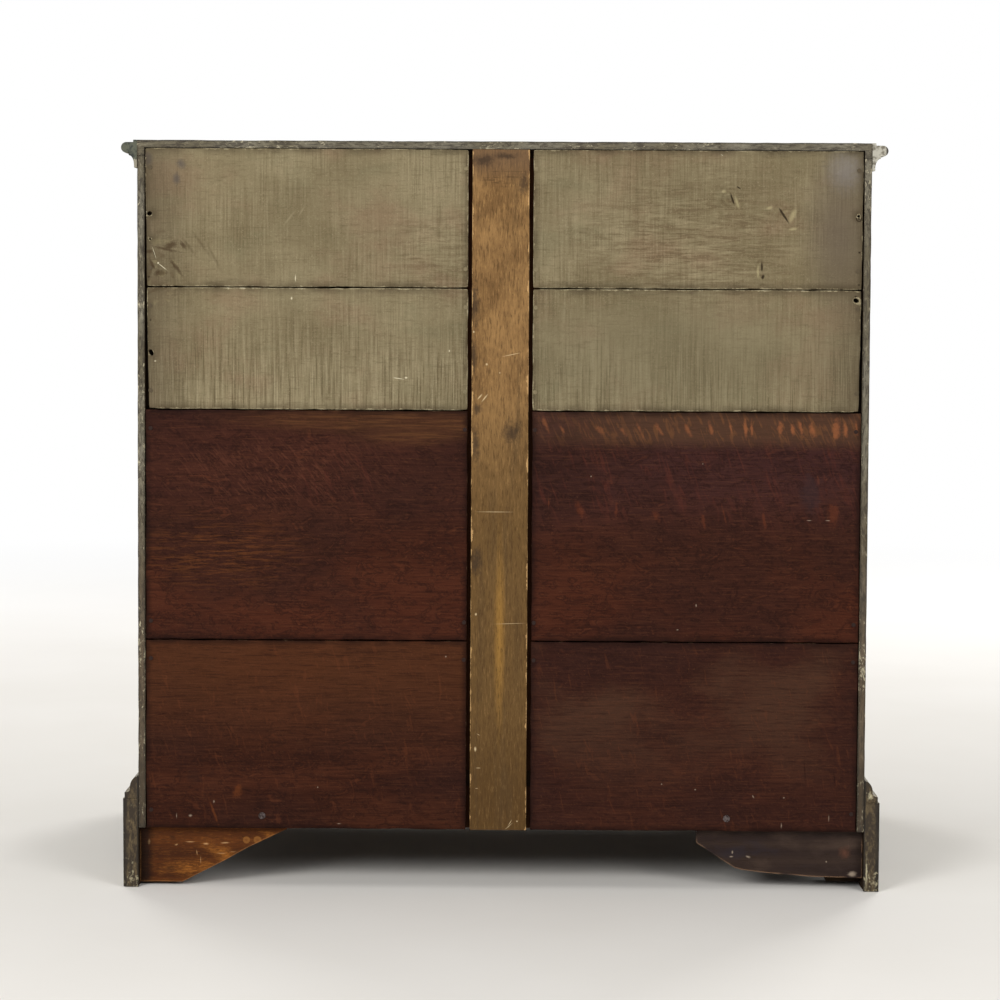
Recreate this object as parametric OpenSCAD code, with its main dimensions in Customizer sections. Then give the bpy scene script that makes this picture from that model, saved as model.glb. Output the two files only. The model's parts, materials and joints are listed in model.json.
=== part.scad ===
// Chest of drawers: two short drawers over three long ones, seen from the front along +Y.
// Left and right are the viewer's, facing the front. The floor is at z = 0.

/* [Carcase] */
// Width across the outer faces of the sides
carcase_w = 950; // [850:1:1150]
// Depth from the front edges of the sides to their rear edges
carcase_d = 500; // [450:1:600]
// Height of the top surface above the floor
overall_h = 976; // [930:1:1100]
// Thickness of each side
side_t = 18; // [16:0.5:24]
// Thickness of the top board
top_t = 20; // [16:0.5:26]
// Thickness of the bottom board
bottom_t = 20; // [14:0.5:24]
// Height of the lower ends of the sides and of the back above the floor
side_end_z = 78; // [77:1:90]

/* [Back] */
// Thickness of a side's lip beside the backboards
rear_lip = 9.5; // [8:0.5:13]
// Thickness of the top board's lip above the backboards
top_lip = 10; // [6:0.5:14]
// Thickness of the backboards
backboard_t = 12; // [8:0.5:16]
// How far the backboards lie inside the rear edges
back_recess = 1; // [0.5:0.5:4]
// Gap between one backboard and the next
board_gap = 1.2; // [0.5:0.1:3]
// Widest gap that shrinkage has opened beside the right upper backboards
right_shrink_gap = 5; // [1:0.5:5]
// Widest gap that shrinkage has opened beside the left upper backboards
left_shrink_gap = 4; // [1:0.5:5]
// Width of the upright between the two bays of backboards
muntin_w = 74; // [50:1:110]
// How far the upright stands to the right of the middle
muntin_x = 4; // [-20:1:20]
// Width of each of the upright's flanges, which the backboards are nailed to
flange_w = 14; // [10:0.5:20]
// Thickness of the upright's flanges
flange_t = 12; // [8:0.5:16]
// Gap between the ends of the backboards and the upright
muntin_gap = 5; // [2:0.5:8]
// Height of the lower edge of the first row of backboards
row_1_z = 787; // [700:1:850]
// Height of the lower edge of the second row
row_2_z = 628; // [540:1:680]
// Height of the lower edge of the third row
row_3_z = 327; // [250:1:450]
// Radius of a nail
nail_r = 1.2; // [0.8:0.1:2]
// Radius of a nail's head
nail_head_r = 2.6; // [2:0.1:4]
// Length of a nail under its head
nail_len = 22; // [16:0.5:24]
// Thickness of a nail's head
nail_head_t = 0.8; // [0.5:0.1:1.5]
// Distance from a nail to the inner end of its board
nail_in = 3.5; // [3:0.5:6]
// Distance from a nail to the long edge of its board
nail_edge = 24; // [15:1:40]
// Radius of a screw
screw_r = 2; // [1.5:0.1:3]
// Radius of a screw's head
screw_head_r = 4.5; // [3.5:0.1:6]
// Length of a screw
screw_len = 26; // [20:1:28]
// Height of the screws above the lower edge of the back
screw_up = 17; // [12:1:30]
// Distance of the right screw from the outer face of the side
right_screw_in = 162; // [120:1:180]
// Distance of the left screw from the outer face of the side
left_screw_in = 180; // [120:1:200]

/* [Rails and runners] */
// Height of the rails between the drawers
rail_t = 22; // [16:0.5:28]
// Depth of the rails from front to back
rail_d = 70; // [50:1:100]
// Depth of the housings in the sides and rails
housing_d = 6; // [4:0.5:8]
// Width of the partition between the short drawers
partition_w = 22; // [18:0.5:30]
// Width of the side runners inside the chest
runner_w = 30; // [20:1:45]
// Width of the runner that both short drawers share
centre_runner_w = 66; // [50:1:90]
// Height of the guide between the short drawers
guide_h = 14; // [10:0.5:20]
// Thickness of the dust boards
dust_t = 8; // [5:0.5:10]
// Depth of the grooves that hold the dust boards
dust_groove = 6; // [4:0.5:8]
// Clearance of the dust boards in their grooves
dust_play = 0.3; // [0.1:0.1:1]

/* [Top moulding] */
// Height of the top moulding
top_moulding_h = 36; // [30:0.5:45]
// How far the top moulding stands out
top_moulding_out = 21; // [17:0.5:28]
// Thickness of its rounded nosing
nosing_t = 14; // [10:0.5:16]
// Step from the top surface down to the nosing
nosing_step = 3; // [1:0.5:4]
// Width of the strip above that step
step_w = 5; // [3:0.5:7]
// Width of the fillet under the nosing
fillet_out = 11; // [9:0.5:14]
// Height of the fillet under the nosing
fillet_h = 3; // [2:0.5:4]
// Thickness of the moulding's lower edge
lower_edge_out = 4; // [2:0.5:6]
// Height of the moulding's lower edge
lower_edge_h = 3; // [2:0.5:5]

/* [Base moulding] */
// Height of the base moulding
base_moulding_h = 29; // [25:0.5:35]
// How far the base moulding stands out
base_moulding_out = 18; // [15:0.5:20]
// Height of its rounded upper part
ovolo_h = 14; // [10:0.5:16]
// How far the rounded upper part stands out
ovolo_out = 11; // [8:0.5:12]
// Height of the square lower part
base_edge_h = 8; // [6:0.5:10]
// Height of the hollow above the square part
base_hollow_h = 4; // [3:0.5:5]

/* [Plinth and feet] */
// Height of the plinth, feet included
plinth_h = 117; // [105:1:130]
// Thickness of the plinth boards
plinth_t = 20; // [19:0.5:25]
// Height of the plinth's lower edge between the feet
apron_z = 76; // [70:1:77]
// Width of a foot where it meets the floor
foot_w = 118; // [80:1:130]
// Radius of the lower round beside a foot
foot_round = 26; // [18:1:30]
// Height at which the lower round starts
foot_rise = 22; // [15:1:25]
// Radius of the upper round beside a foot
apron_round = 22; // [15:1:24]
// Width of the point between the two rounds
cusp_w = 6; // [4:0.5:10]
// Length of the right rear bracket
right_bracket_w = 194; // [185:1:210]
// Length of the left rear bracket
left_bracket_w = 218; // [205:1:230]
// Thickness of the rear brackets
bracket_t = 18; // [14:0.5:24]
// Width of the blocks inside the feet
block_w = 45; // [35:1:55]
// Gap between the foot blocks and the floor
block_up = 6; // [3:0.5:12]
// Length of the glue blocks behind the front plinth
glue_block_w = 60; // [40:1:90]
// Depth of those glue blocks
glue_block_d = 26; // [20:1:35]
// Distance from one glue block to the next
glue_block_pitch = 250; // [220:1:280]

/* [Drawers] */
// Height of the openings of the short drawers
short_h = 140; // [120:1:160]
// Height of the opening of the upper long drawer
upper_h = 163; // [140:1:180]
// Height of the opening of the middle long drawer
middle_h = 190; // [170:1:210]
// Gap between a closed drawer and the upright behind it
drawer_gap = 20; // [10:1:60]
// Thickness of a drawer front inside its opening
front_in = 16; // [14:0.5:20]
// Thickness of the lip round a drawer front
lip_t = 6; // [5:0.5:8]
// How far the lip covers the frame on each side
lip_over = 6; // [4:0.5:7]
// Gap between the lips and the mouldings above and below
lip_show = 2; // [1:0.5:5]
// Radius of the lip's rounded edge
lip_round = 4.5; // [2:0.5:4.5]
// Gap between a closed drawer's lip and the frame
lip_seat = 0.3; // [0.1:0.1:0.6]
// Thickness of the drawer sides
drawer_side_t = 10; // [8:0.5:13]
// Thickness of the drawer backs
drawer_back_t = 10; // [8:0.5:13]
// Thickness of the drawer bottoms
drawer_bottom_t = 7; // [5:0.5:9]
// Depth of the grooves that hold the drawer bottoms
groove_d = 5; // [3:0.5:6]
// Height of those grooves above the drawer's lower edge
groove_up = 8; // [6:0.5:12]
// Clearance of the drawer bottoms in their grooves
groove_play = 0.2; // [0.1:0.1:0.5]
// How far a drawer back stops below the sides
back_drop = 6; // [3:0.5:12]
// Clearance beside a drawer
side_play = 1; // [0.5:0.1:2]
// Clearance above a drawer
top_play = 2; // [1:0.5:4]
// Clearance between a drawer and its runners
base_play = 0.3; // [0.1:0.1:0.6]

/* [Dovetails] */
// Length of the tails let into a drawer front
tail_len = 12; // [9:0.5:13]
// Rough distance from one drawer tail to the next
tail_pitch = 44; // [35:1:60]
// Width of the pins between the tails
pin_w = 9; // [8:0.5:14]
// Run of a tail's edge for each unit that it widens
tail_slope = 6; // [5:0.5:9]
// Number of pins that join each side to the top board
top_pins = 7; // [4:1:9]
// Width of those pins at the inner face of the side
top_pin_w = 26; // [20:1:30]
// Wood left over the pins in the top board
lap_t = 6; // [4:0.5:8]
// Clearance round dovetails
joint_play = 0.1; // [0.05:0.05:0.2]

/* [Handles] */
// Distance between the two posts of a handle
post_spacing = 78; // [70:1:100]
// Distance from a drawer front to the bail's pivot
pivot_out = 15; // [13:0.5:20]
// Radius of a post's head
head_r = 5.5; // [5:0.5:7]
// Radius of a post's neck
neck_r = 3.2; // [2.5:0.1:4]
// Radius of the collar at the foot of a post
collar_r = 4.8; // [4:0.1:6]
// Height of that collar
collar_h = 4; // [2:0.5:6]
// Gap between the collar and its plate
collar_gap = 0.1; // [0.05:0.05:0.2]
// Radius of a post's shank
shank_r = 2.3; // [1.8:0.1:2.6]
// Clearance round the shank
shank_play = 0.2; // [0.1:0.1:0.4]
// Radius of the bail's pins
bail_pin_r = 2; // [1.6:0.1:2.4]
// Running clearance round the bail's pins
pin_play = 0.08; // [0.02:0.01:0.1]
// Length of a pin's end inside its post
pin_end = 1.2; // [0.5:0.1:2]
// Radius of the bail's rod
rod_r = 2.2; // [1.8:0.1:3]
// Gap between a post's head and the bail's bend beside it
neck_gap = 1; // [0.5:0.1:2]
// Radius of the bends in the bail's swan necks
swan_r = 3.6; // [3.2:0.1:5]
// Drop from the pivot to the bail's grip
bail_drop = 33; // [30:0.5:45]
// Radius of the bail's lower bends
bow_r = 17; // [12:0.5:20]
// Largest radius of the grip's swelling
swell_r = 3.8; // [3:0.1:5]
// Length of the grip's swelling
swell_w = 42; // [30:1:60]
// Radius of the round plates under the posts
rose_r = 12; // [9:0.5:15]
// Thickness of those plates
rose_t = 2; // [1.5:0.1:3]
// Width of the moulded rim of a plate
rose_rim = 3; // [2:0.5:4]
// Width across the corners of a post's nut, halved
nut_r = 6; // [5:0.5:8]
// Thickness of a post's nut
nut_t = 4; // [3:0.5:6]
// How far the shank shows past its nut
shank_end = 1.5; // [0.5:0.5:3]

/* [Hidden] */
$fn = 48;

// Colours of the finishes
paint = [0.50, 0.46, 0.35];
red_oak = [0.26, 0.14, 0.10];
gold_oak = [0.46, 0.35, 0.23];
plain_oak = [0.60, 0.46, 0.31];
red_bracket = [0.30, 0.17, 0.09];
grey_bracket = [0.22, 0.17, 0.14];
brass = [0.66, 0.52, 0.26];
iron = [0.24, 0.21, 0.19];

// Cuts run this far past the faces that they open
over = 1;
// Segments in a quarter of a moulded round
round_steps = 8;
// Segments round a rod of the handles
rod_fn = 24;
// The posts' round surfaces start beside their bores, this many degrees away
seam_turn = 45;
// The rim of a handle's plate meets the drawer front this steeply, in degrees from upright
rim_turn = 20;

// Lower edges of the rear brackets, from the plinth inwards, as parts of a bracket's length
// and of the height at which the sides end
right_bracket_edge = [[0, 0.05], [0.29, 0.05], [0.36, 0.14], [0.58, 0.42], [0.74, 0.65], [1, 0.96]];
left_bracket_edge = [[0, 0.19], [0.26, 0.2], [0.56, 0.26], [0.72, 0.31], [0.77, 0.35], [1, 0.77]];

// The bails stand out furthest in front, and the sides' rear edges end the back
handle_out = lip_seat + lip_t + pivot_out + head_r;
overall_d = carcase_d + handle_out;
back_y = overall_d / 2;
front_y = back_y - carcase_d;
face_y = front_y - lip_seat - lip_t;
pivot_y = face_y - pivot_out;
half_w = carcase_w / 2;
inner_x = half_w - side_t;
under_top_z = overall_h - top_t;

// Rebate round the back
rebate_d = backboard_t + back_recess;
rebate_y = back_y - rebate_d;
rebate_x = half_w - rear_lip;
rebate_z = overall_h - top_lip;
flange_y = rebate_y - flange_t;
drawer_end_y = flange_y - drawer_gap;

// Drawer openings, from the top down
open_high_z = overall_h - top_moulding_h - lip_show - lip_over;
open_low_z = plinth_h + base_moulding_h + lip_show + lip_over;
bottom_z = open_low_z - bottom_t;
rail_1_z = open_high_z - short_h;
rail_2_z = rail_1_z - rail_t - upper_h;
rail_3_z = rail_2_z - rail_t - middle_h;
rail_tops = [rail_1_z, rail_2_z, rail_3_z];
top_rail_h = under_top_z - open_high_z;
short_x = partition_w / 2;
handle_x = (inner_x + short_x) / 2;

// Each opening is [left, right, low, high]
top_left_open = [-inner_x, -short_x, rail_1_z, open_high_z];
top_right_open = [short_x, inner_x, rail_1_z, open_high_z];
upper_open = [-inner_x, inner_x, rail_2_z, rail_1_z - rail_t];
middle_open = [-inner_x, inner_x, rail_3_z, rail_2_z - rail_t];
lower_open = [-inner_x, inner_x, open_low_z, rail_3_z - rail_t];

function arc(cx, cy, rx, ry, from, to) =
    [for (i = [0 : round_steps]) let (a = from + (to - from) * i / round_steps)
        [cx + rx * cos(a), cy + ry * sin(a)]];
function mid_z(open) = (open[2] + open[3]) / 2;

// Box from one corner to the opposite one
module block(low, high) {
    translate(low) cube(high - low);
}

// Extrudes an outline drawn in Y and Z along +X
module along_x(length) {
    rotate([90, 0, 90]) linear_extrude(length) children();
}

// Extrudes an outline drawn in X and Z towards the front
module towards_front(depth) {
    rotate([90, 0, 0]) linear_extrude(depth) children();
}

// Carcase

// Pins on top of the right side, in plan, grown by a clearance
module top_pins_plan(grow) {
    pitch = carcase_d / top_pins;
    wide = top_pin_w / 2 + grow;
    narrow = wide - side_t / tail_slope;
    for (i = [0 : top_pins - 1])
        translate([inner_x, front_y + pitch * (i + 1 / 2)])
            polygon([[-grow, -wide], [side_t, -narrow], [side_t, narrow], [-grow, wide]]);
}

module top_board() {
    color(paint) difference() {
        block([-half_w, front_y, under_top_z], [half_w, back_y, overall_h]);
        for (m = [0, 1]) mirror([m, 0, 0])
            translate([0, 0, under_top_z - over])
                linear_extrude(top_t - lap_t + joint_play + over) top_pins_plan(joint_play);
        block([-rebate_x, rebate_y, under_top_z - over], [rebate_x, back_y + over, rebate_z]);
    }
}

module side() {
    color(paint) difference() {
        union() {
            block([inner_x, front_y, side_end_z], [half_w, back_y, under_top_z]);
            translate([0, 0, under_top_z - over])
                linear_extrude(top_t - lap_t + over) top_pins_plan(0);
        }
        block([inner_x - over, rebate_y, side_end_z - over], [rebate_x, back_y + over, overall_h]);
        for (z = rail_tops)
            block([inner_x - over, front_y - over, z - rail_t],
                [inner_x + housing_d, back_y + over, z]);
        block([inner_x - over, front_y - over, open_high_z],
            [inner_x + housing_d, back_y + over, under_top_z]);
        block([inner_x - over, front_y - over, bottom_z],
            [inner_x + housing_d, back_y + over, open_low_z]);
    }
}

module left_side() { mirror([1, 0, 0]) side(); }
module right_side() { side(); }

module bottom_board() {
    end_x = inner_x + housing_d;
    color(plain_oak) block([-end_x, front_y, bottom_z], [end_x, rebate_y, open_low_z]);
}

// Rails, with grooves for the dust boards and housings for the partition
module front_rails() {
    end_x = inner_x + housing_d;
    rail_y = front_y + rail_d;
    color(paint) {
        difference() {
            block([-end_x, front_y, open_high_z], [end_x, rail_y, under_top_z]);
            block([-short_x, front_y - over, open_high_z - over],
                [short_x, rail_y + over, open_high_z + housing_d]);
        }
        for (z = rail_tops) difference() {
            block([-end_x, front_y, z - rail_t], [end_x, rail_y, z]);
            block([-end_x - over, rail_y - dust_groove, z - (rail_t + dust_t) / 2],
                [end_x + over, rail_y + over, z - (rail_t - dust_t) / 2]);
            if (z == rail_1_z)
                block([-short_x, front_y - over, z - housing_d], [short_x, rail_y + over, z + over]);
        }
    }
}

module drawer_partition() {
    color(paint) block([-short_x, front_y, rail_1_z - housing_d],
        [short_x, front_y + rail_d, open_high_z + housing_d]);
}

// Side runners at each rail, the shared runner and the guide on it
module drawer_runners() {
    rail_y = front_y + rail_d;
    edge_x = inner_x - runner_w;
    centre_x = centre_runner_w / 2;
    color(plain_oak) {
        for (z = rail_tops, m = [0, 1]) mirror([m, 0, 0]) difference() {
            block([edge_x, rail_y, z - rail_t], [inner_x + housing_d, rebate_y, z]);
            block([edge_x - over, rail_y - over, z - (rail_t + dust_t) / 2],
                [edge_x + dust_groove, rebate_y + over, z - (rail_t - dust_t) / 2]);
        }
        difference() {
            block([-centre_x, rail_y, rail_1_z - rail_t], [centre_x, flange_y, rail_1_z]);
            for (m = [0, 1]) mirror([m, 0, 0])
                block([centre_x - dust_groove, rail_y - over, rail_1_z - (rail_t + dust_t) / 2],
                    [centre_x + over, flange_y + over, rail_1_z - (rail_t - dust_t) / 2]);
        }
        block([-short_x, rail_y, rail_1_z], [short_x, flange_y, rail_1_z + guide_h]);
    }
}

// Strips under the top that keep the short drawers level as they open
module drawer_kickers() {
    rail_y = front_y + rail_d;
    centre_x = centre_runner_w / 2;
    color(plain_oak) {
        for (m = [0, 1]) mirror([m, 0, 0])
            block([inner_x - runner_w, rail_y, open_high_z],
                [inner_x + housing_d, rebate_y, under_top_z]);
        block([-centre_x, rail_y, open_high_z], [centre_x, flange_y, under_top_z]);
    }
}

// One dust board between two runners' grooves
module dust_board(left_x, right_x, rail_z) {
    low = rail_z - (rail_t + dust_t) / 2;
    block([left_x - dust_groove + dust_play, front_y + rail_d - dust_groove + dust_play, low],
        [right_x + dust_groove - dust_play, flange_y - dust_play, low + dust_t]);
}

module dust_boards() {
    edge_x = inner_x - runner_w;
    centre_x = centre_runner_w / 2;
    color(plain_oak) {
        dust_board(-edge_x, -centre_x, rail_1_z);
        dust_board(centre_x, edge_x, rail_1_z);
        for (z = [rail_2_z, rail_3_z]) dust_board(-edge_x, edge_x, z);
    }
}

// Mouldings and plinth

// Plan of everything in front of the mitres at the front corners
module front_of_mitres(height) {
    reach = plinth_t + top_moulding_out;
    linear_extrude(height) polygon([[-half_w, front_y], [half_w, front_y],
        [half_w + reach, front_y - reach], [-half_w - reach, front_y - reach]]);
}

// Plan of everything beside the right-hand mitre
module beside_mitre(height) {
    reach = plinth_t + top_moulding_out;
    linear_extrude(height) polygon([[half_w, front_y], [half_w + reach, front_y - reach],
        [half_w + reach, back_y], [half_w, back_y]]);
}

// A moulding's outline runs outwards in X and upwards in Y, from the face that it is fixed to
module moulding_front(out) {
    reach = half_w + out;
    intersection() {
        translate([-reach, front_y, 0]) mirror([0, 1, 0]) along_x(2 * reach) children();
        front_of_mitres(overall_h + over);
    }
}

module moulding_side(out) {
    intersection() {
        translate([half_w, back_y, 0]) towards_front(carcase_d + out) children();
        beside_mitre(overall_h + over);
    }
}

// Small step, rounded nosing, fillet and hollow
module top_outline() {
    nosing_r = nosing_t / 2;
    nosing_low = overall_h - nosing_step - nosing_t;
    hollow_h = top_moulding_h - nosing_step - nosing_t - fillet_h - lower_edge_h;
    low = overall_h - top_moulding_h;
    polygon(concat(
        [[0, low], [0, overall_h], [step_w, overall_h], [step_w, overall_h - nosing_step]],
        arc(top_moulding_out - nosing_r, nosing_low + nosing_r, nosing_r, nosing_r, 90, -90),
        [[fillet_out, nosing_low]],
        arc(fillet_out, low + lower_edge_h, fillet_out - lower_edge_out, hollow_h, 90, 180),
        [[lower_edge_out, low]]));
}

// Rounded upper part, short hollow and square edge
module base_outline() {
    high = plinth_h + base_moulding_h;
    edge_z = plinth_h + base_edge_h;
    polygon(concat(
        [[0, plinth_h]],
        arc(0, high - ovolo_h, ovolo_out, ovolo_h, 90, 0),
        arc(base_moulding_out, edge_z + base_hollow_h,
            base_moulding_out - ovolo_out, base_hollow_h, 180, 270),
        [[base_moulding_out, plinth_h]]));
}

module top_moulding_front() { color(paint) moulding_front(top_moulding_out) top_outline(); }
module top_moulding_right() { color(paint) moulding_side(top_moulding_out) top_outline(); }
module top_moulding_left() { mirror([1, 0, 0]) top_moulding_right(); }
module base_moulding_front() { color(paint) moulding_front(base_moulding_out) base_outline(); }
module base_moulding_right() { color(paint) moulding_side(base_moulding_out) base_outline(); }
module base_moulding_left() { mirror([1, 0, 0]) base_moulding_right(); }

// Half of the opening between two feet, from the foot's inner edge to the middle of the board
module foot_cut(half_span) {
    round_x = foot_w + foot_round;
    round_z = foot_rise + foot_round;
    cusp_x = round_x + cusp_w;
    apron_x = cusp_x + apron_round;
    apron_low = apron_z - apron_round;
    middle = half_span + over;
    translate([foot_w, -over]) square([middle - foot_w, foot_rise + over]);
    translate([round_x, foot_rise]) circle(foot_round);
    translate([round_x, -over]) square([middle - round_x, round_z + over]);
    translate([cusp_x, foot_rise]) square([middle - cusp_x, apron_low - foot_rise]);
    translate([apron_x, apron_low]) circle(apron_round);
    translate([apron_x, foot_rise]) square([middle - apron_x, apron_z - foot_rise]);
}

// Plinth board of a length, with a foot cut at each end
module plinth_outline(length) {
    difference() {
        square([length, plinth_h]);
        foot_cut(length / 2);
        translate([length, 0]) mirror([1, 0]) foot_cut(length / 2);
    }
}

module plinth_front() {
    reach = half_w + plinth_t;
    color(paint) intersection() {
        translate([-reach, front_y, 0]) towards_front(plinth_t) plinth_outline(2 * reach);
        front_of_mitres(overall_h);
    }
}

module plinth_right() {
    color(paint) intersection() {
        translate([half_w, front_y - plinth_t, 0])
            along_x(plinth_t) plinth_outline(carcase_d + plinth_t);
        beside_mitre(overall_h);
    }
}

module plinth_left() { mirror([1, 0, 0]) plinth_right(); }

// Rear bracket fitted round the end of a side: x runs inwards from the plinth
module rear_bracket(length, lower_edge) {
    towards_front(bracket_t) polygon(concat(
        [[0, side_end_z]],
        [for (p = lower_edge) [p[0] * length, p[1] * side_end_z]],
        [[length, bottom_z], [side_t, bottom_z], [side_t, side_end_z]]));
}

module right_rear_bracket() {
    color(red_bracket) translate([half_w, rebate_y, 0]) mirror([1, 0, 0])
        rear_bracket(right_bracket_w, right_bracket_edge);
}

module left_rear_bracket() {
    color(grey_bracket) translate([-half_w, rebate_y, 0])
        rear_bracket(left_bracket_w, left_bracket_edge);
}

// Blocks in the four feet, notched round the sides, and glue blocks behind the front plinth
module foot_blocks() {
    rear_y = rebate_y - bracket_t;
    color(plain_oak) {
        for (m = [0, 1], y = [front_y, rear_y - block_w]) mirror([m, 0, 0]) difference() {
            block([half_w - block_w, y, block_up], [half_w, y + block_w, bottom_z]);
            block([inner_x, y - over, side_end_z], [half_w + over, y + block_w + over, bottom_z + over]);
        }
        for (i = [-1 : 1])
            block([glue_block_pitch * i - glue_block_w / 2, front_y, apron_z + block_up],
                [glue_block_pitch * i + glue_block_w / 2, front_y + glue_block_d, bottom_z]);
    }
}

// Back

// One backboard of the right bay; its outer end may lean
module backboard(low, high, gap_low, gap_high, inner_end) {
    translate([0, rebate_y + backboard_t, 0]) towards_front(backboard_t)
        polygon([[inner_end, low], [rebate_x - gap_low, low],
            [rebate_x - gap_high, high], [inner_end, high]]);
}

// Distances of the boards' inner ends from the middle, in the right and the left bay
right_end = muntin_x + muntin_w / 2 + muntin_gap;
left_end = muntin_w / 2 + muntin_gap - muntin_x;
top_row_z = rebate_z - joint_play;

module upper_backboards(inner_end, shrink_gap) {
    color(paint) {
        backboard(row_1_z, top_row_z, shrink_gap / 2, board_gap / 2, inner_end);
        backboard(row_2_z, row_1_z - board_gap, shrink_gap, shrink_gap / 2, inner_end);
    }
}

module lower_backboards(inner_end) {
    color(red_oak) {
        backboard(row_3_z, row_2_z - board_gap, board_gap / 2, board_gap / 2, inner_end);
        backboard(side_end_z, row_3_z - board_gap, board_gap / 2, board_gap / 2, inner_end);
    }
}

module right_upper_backboards() { upper_backboards(right_end, right_shrink_gap); }
module right_lower_backboards() { lower_backboards(right_end); }
module left_upper_backboards() { mirror([1, 0, 0]) upper_backboards(left_end, left_shrink_gap); }
module left_lower_backboards() { mirror([1, 0, 0]) lower_backboards(left_end); }

// Upright with a flange on each edge, notched round the rear edge of the bottom board
module back_muntin() {
    half = muntin_w / 2;
    color(gold_oak) union() {
        block([muntin_x - half, rebate_y, side_end_z], [muntin_x + half, back_y, top_row_z]);
        for (span = [[side_end_z, bottom_z], [open_low_z, under_top_z]]) {
            block([muntin_x - half, flange_y, span[0]], [muntin_x + half, rebate_y + over, span[1]]);
            block([muntin_x - half - flange_w, flange_y, span[0]],
                [muntin_x + half + flange_w, rebate_y, span[1]]);
        }
    }
}

// Nail driven towards the front, its head on the face of a backboard
module nail(x, z) {
    translate([x, rebate_y + backboard_t, z]) rotate([90, 0, 0]) {
        cylinder(h = nail_len, r = nail_r, $fn = 16);
        translate([0, 0, -nail_head_t]) cylinder(h = nail_head_t + over / 2, r = nail_head_r, $fn = 16);
    }
}

module screw(x) {
    translate([x, rebate_y + backboard_t, side_end_z + screw_up]) rotate([90, 0, 0]) {
        cylinder(h = screw_len, r = screw_r, $fn = 24);
        translate([0, 0, -nail_head_t]) cylinder(h = 2 * nail_head_t, r = screw_head_r, $fn = 24);
    }
}

module back_fixings() {
    rows = [[side_end_z, row_3_z], [row_3_z, row_2_z], [row_2_z, row_1_z], [row_1_z, rebate_z]];
    color(iron) {
        for (row = rows, z = [row[0] + nail_edge, row[1] - nail_edge - board_gap]) {
            nail(inner_x + nail_r, z);
            nail(-inner_x - nail_r, z);
            if (z > open_low_z) {
                nail(right_end + nail_in, z);
                nail(-left_end - nail_in, z);
            }
        }
        screw(half_w - right_screw_in);
        screw(left_screw_in - half_w);
    }
}

// Drawers

// Row of tails that point along +X of the drawing, from a base line at zero
module tails(length, height, grow) {
    count = max(2, round(height / tail_pitch));
    pitch = height / count;
    half = (pitch - pin_w) / 2 + grow;
    tip = half + length / tail_slope;
    for (i = [0 : count - 1])
        translate([0, pitch * (i + 1 / 2)])
            polygon([[-over, -half], [0, -half], [length + grow, -tip],
                [length + grow, tip], [0, half], [-over, half]]);
}

// Edges of a drawer box inside its opening
function box_left(open) = open[0] + side_play;
function box_right(open) = open[1] - side_play;
function box_low(open) = open[2] + base_play;
function box_high(open) = open[3] - top_play;
function bottom_low(open) = box_low(open) + groove_up;
function back_low(open) = bottom_low(open) + drawer_bottom_t + groove_play;
function back_high(open) = box_high(open) - back_drop;

// Outline of the lip's section, its rounded edges towards +Y
function lip_points(length) = concat(
    [[0, 0]],
    arc(lip_round, lip_t - lip_round, lip_round, lip_round, 180, 90),
    arc(length - lip_round, lip_t - lip_round, lip_round, lip_round, 90, 0),
    [[length, 0]]);

module lip(open) {
    width = open[1] - open[0] + 2 * lip_over;
    height = open[3] - open[2] + 2 * lip_over;
    translate([open[0] - lip_over, front_y - lip_seat, open[2] - lip_over]) intersection() {
        mirror([0, 1, 0]) linear_extrude(height) polygon(lip_points(width));
        along_x(width) polygon([for (p = lip_points(height)) [-p[1], p[0]]]);
    }
}

// Post holes of one handle
module post_holes(x, z) {
    for (side_x = [-1, 1] * post_spacing / 2)
        translate([x + side_x, front_y + front_in + over, z]) rotate([90, 0, 0])
            cylinder(h = front_in + lip_t + lip_seat + 2 * over, r = shank_r + shank_play, $fn = rod_fn);
}

module drawer_front(open, handles) {
    low = box_low(open);
    high = box_high(open);
    rear_y = front_y + front_in;
    color(paint) difference() {
        union() {
            lip(open);
            block([box_left(open), front_y - lip_seat - over, low], [box_right(open), rear_y, high]);
        }
        for (x = [box_left(open) - over, box_right(open) - drawer_side_t - joint_play])
            translate([x, rear_y, low]) mirror([0, 1, 0])
                along_x(drawer_side_t + joint_play + over) tails(tail_len, high - low, joint_play);
        block([box_left(open) + drawer_side_t - groove_d - groove_play,
                rear_y - groove_d - groove_play, bottom_low(open)],
            [box_right(open) - drawer_side_t + groove_d + groove_play,
                rear_y + over, bottom_low(open) + drawer_bottom_t + groove_play]);
        for (x = handles) post_holes(x, mid_z(open));
    }
}

// Side of a drawer in outline, tails at both ends
module drawer_side_outline(open) {
    low = box_low(open);
    high = box_high(open);
    rear_y = front_y + front_in;
    back_h = back_high(open) - back_low(open);
    back_face_y = drawer_end_y - drawer_back_t;
    translate([rear_y, low]) mirror([1, 0]) tails(tail_len, high - low, 0);
    difference() {
        translate([rear_y, low]) square([drawer_end_y - rear_y, high - low]);
        translate([back_face_y, back_low(open) - joint_play])
            square([drawer_back_t + over, back_h + 2 * joint_play]);
    }
    translate([back_face_y, back_low(open)]) tails(drawer_back_t, back_h, 0);
}

// Both sides, grooved for the bottom
module drawer_sides(open) {
    left = box_left(open);
    right = box_right(open);
    color(plain_oak) difference() {
        for (x = [left, right - drawer_side_t])
            translate([x, 0, 0]) along_x(drawer_side_t) drawer_side_outline(open);
        block([left + drawer_side_t - groove_d - groove_play, front_y, bottom_low(open)],
            [right - drawer_side_t + groove_d + groove_play, back_y,
                bottom_low(open) + drawer_bottom_t + groove_play]);
    }
}

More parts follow.
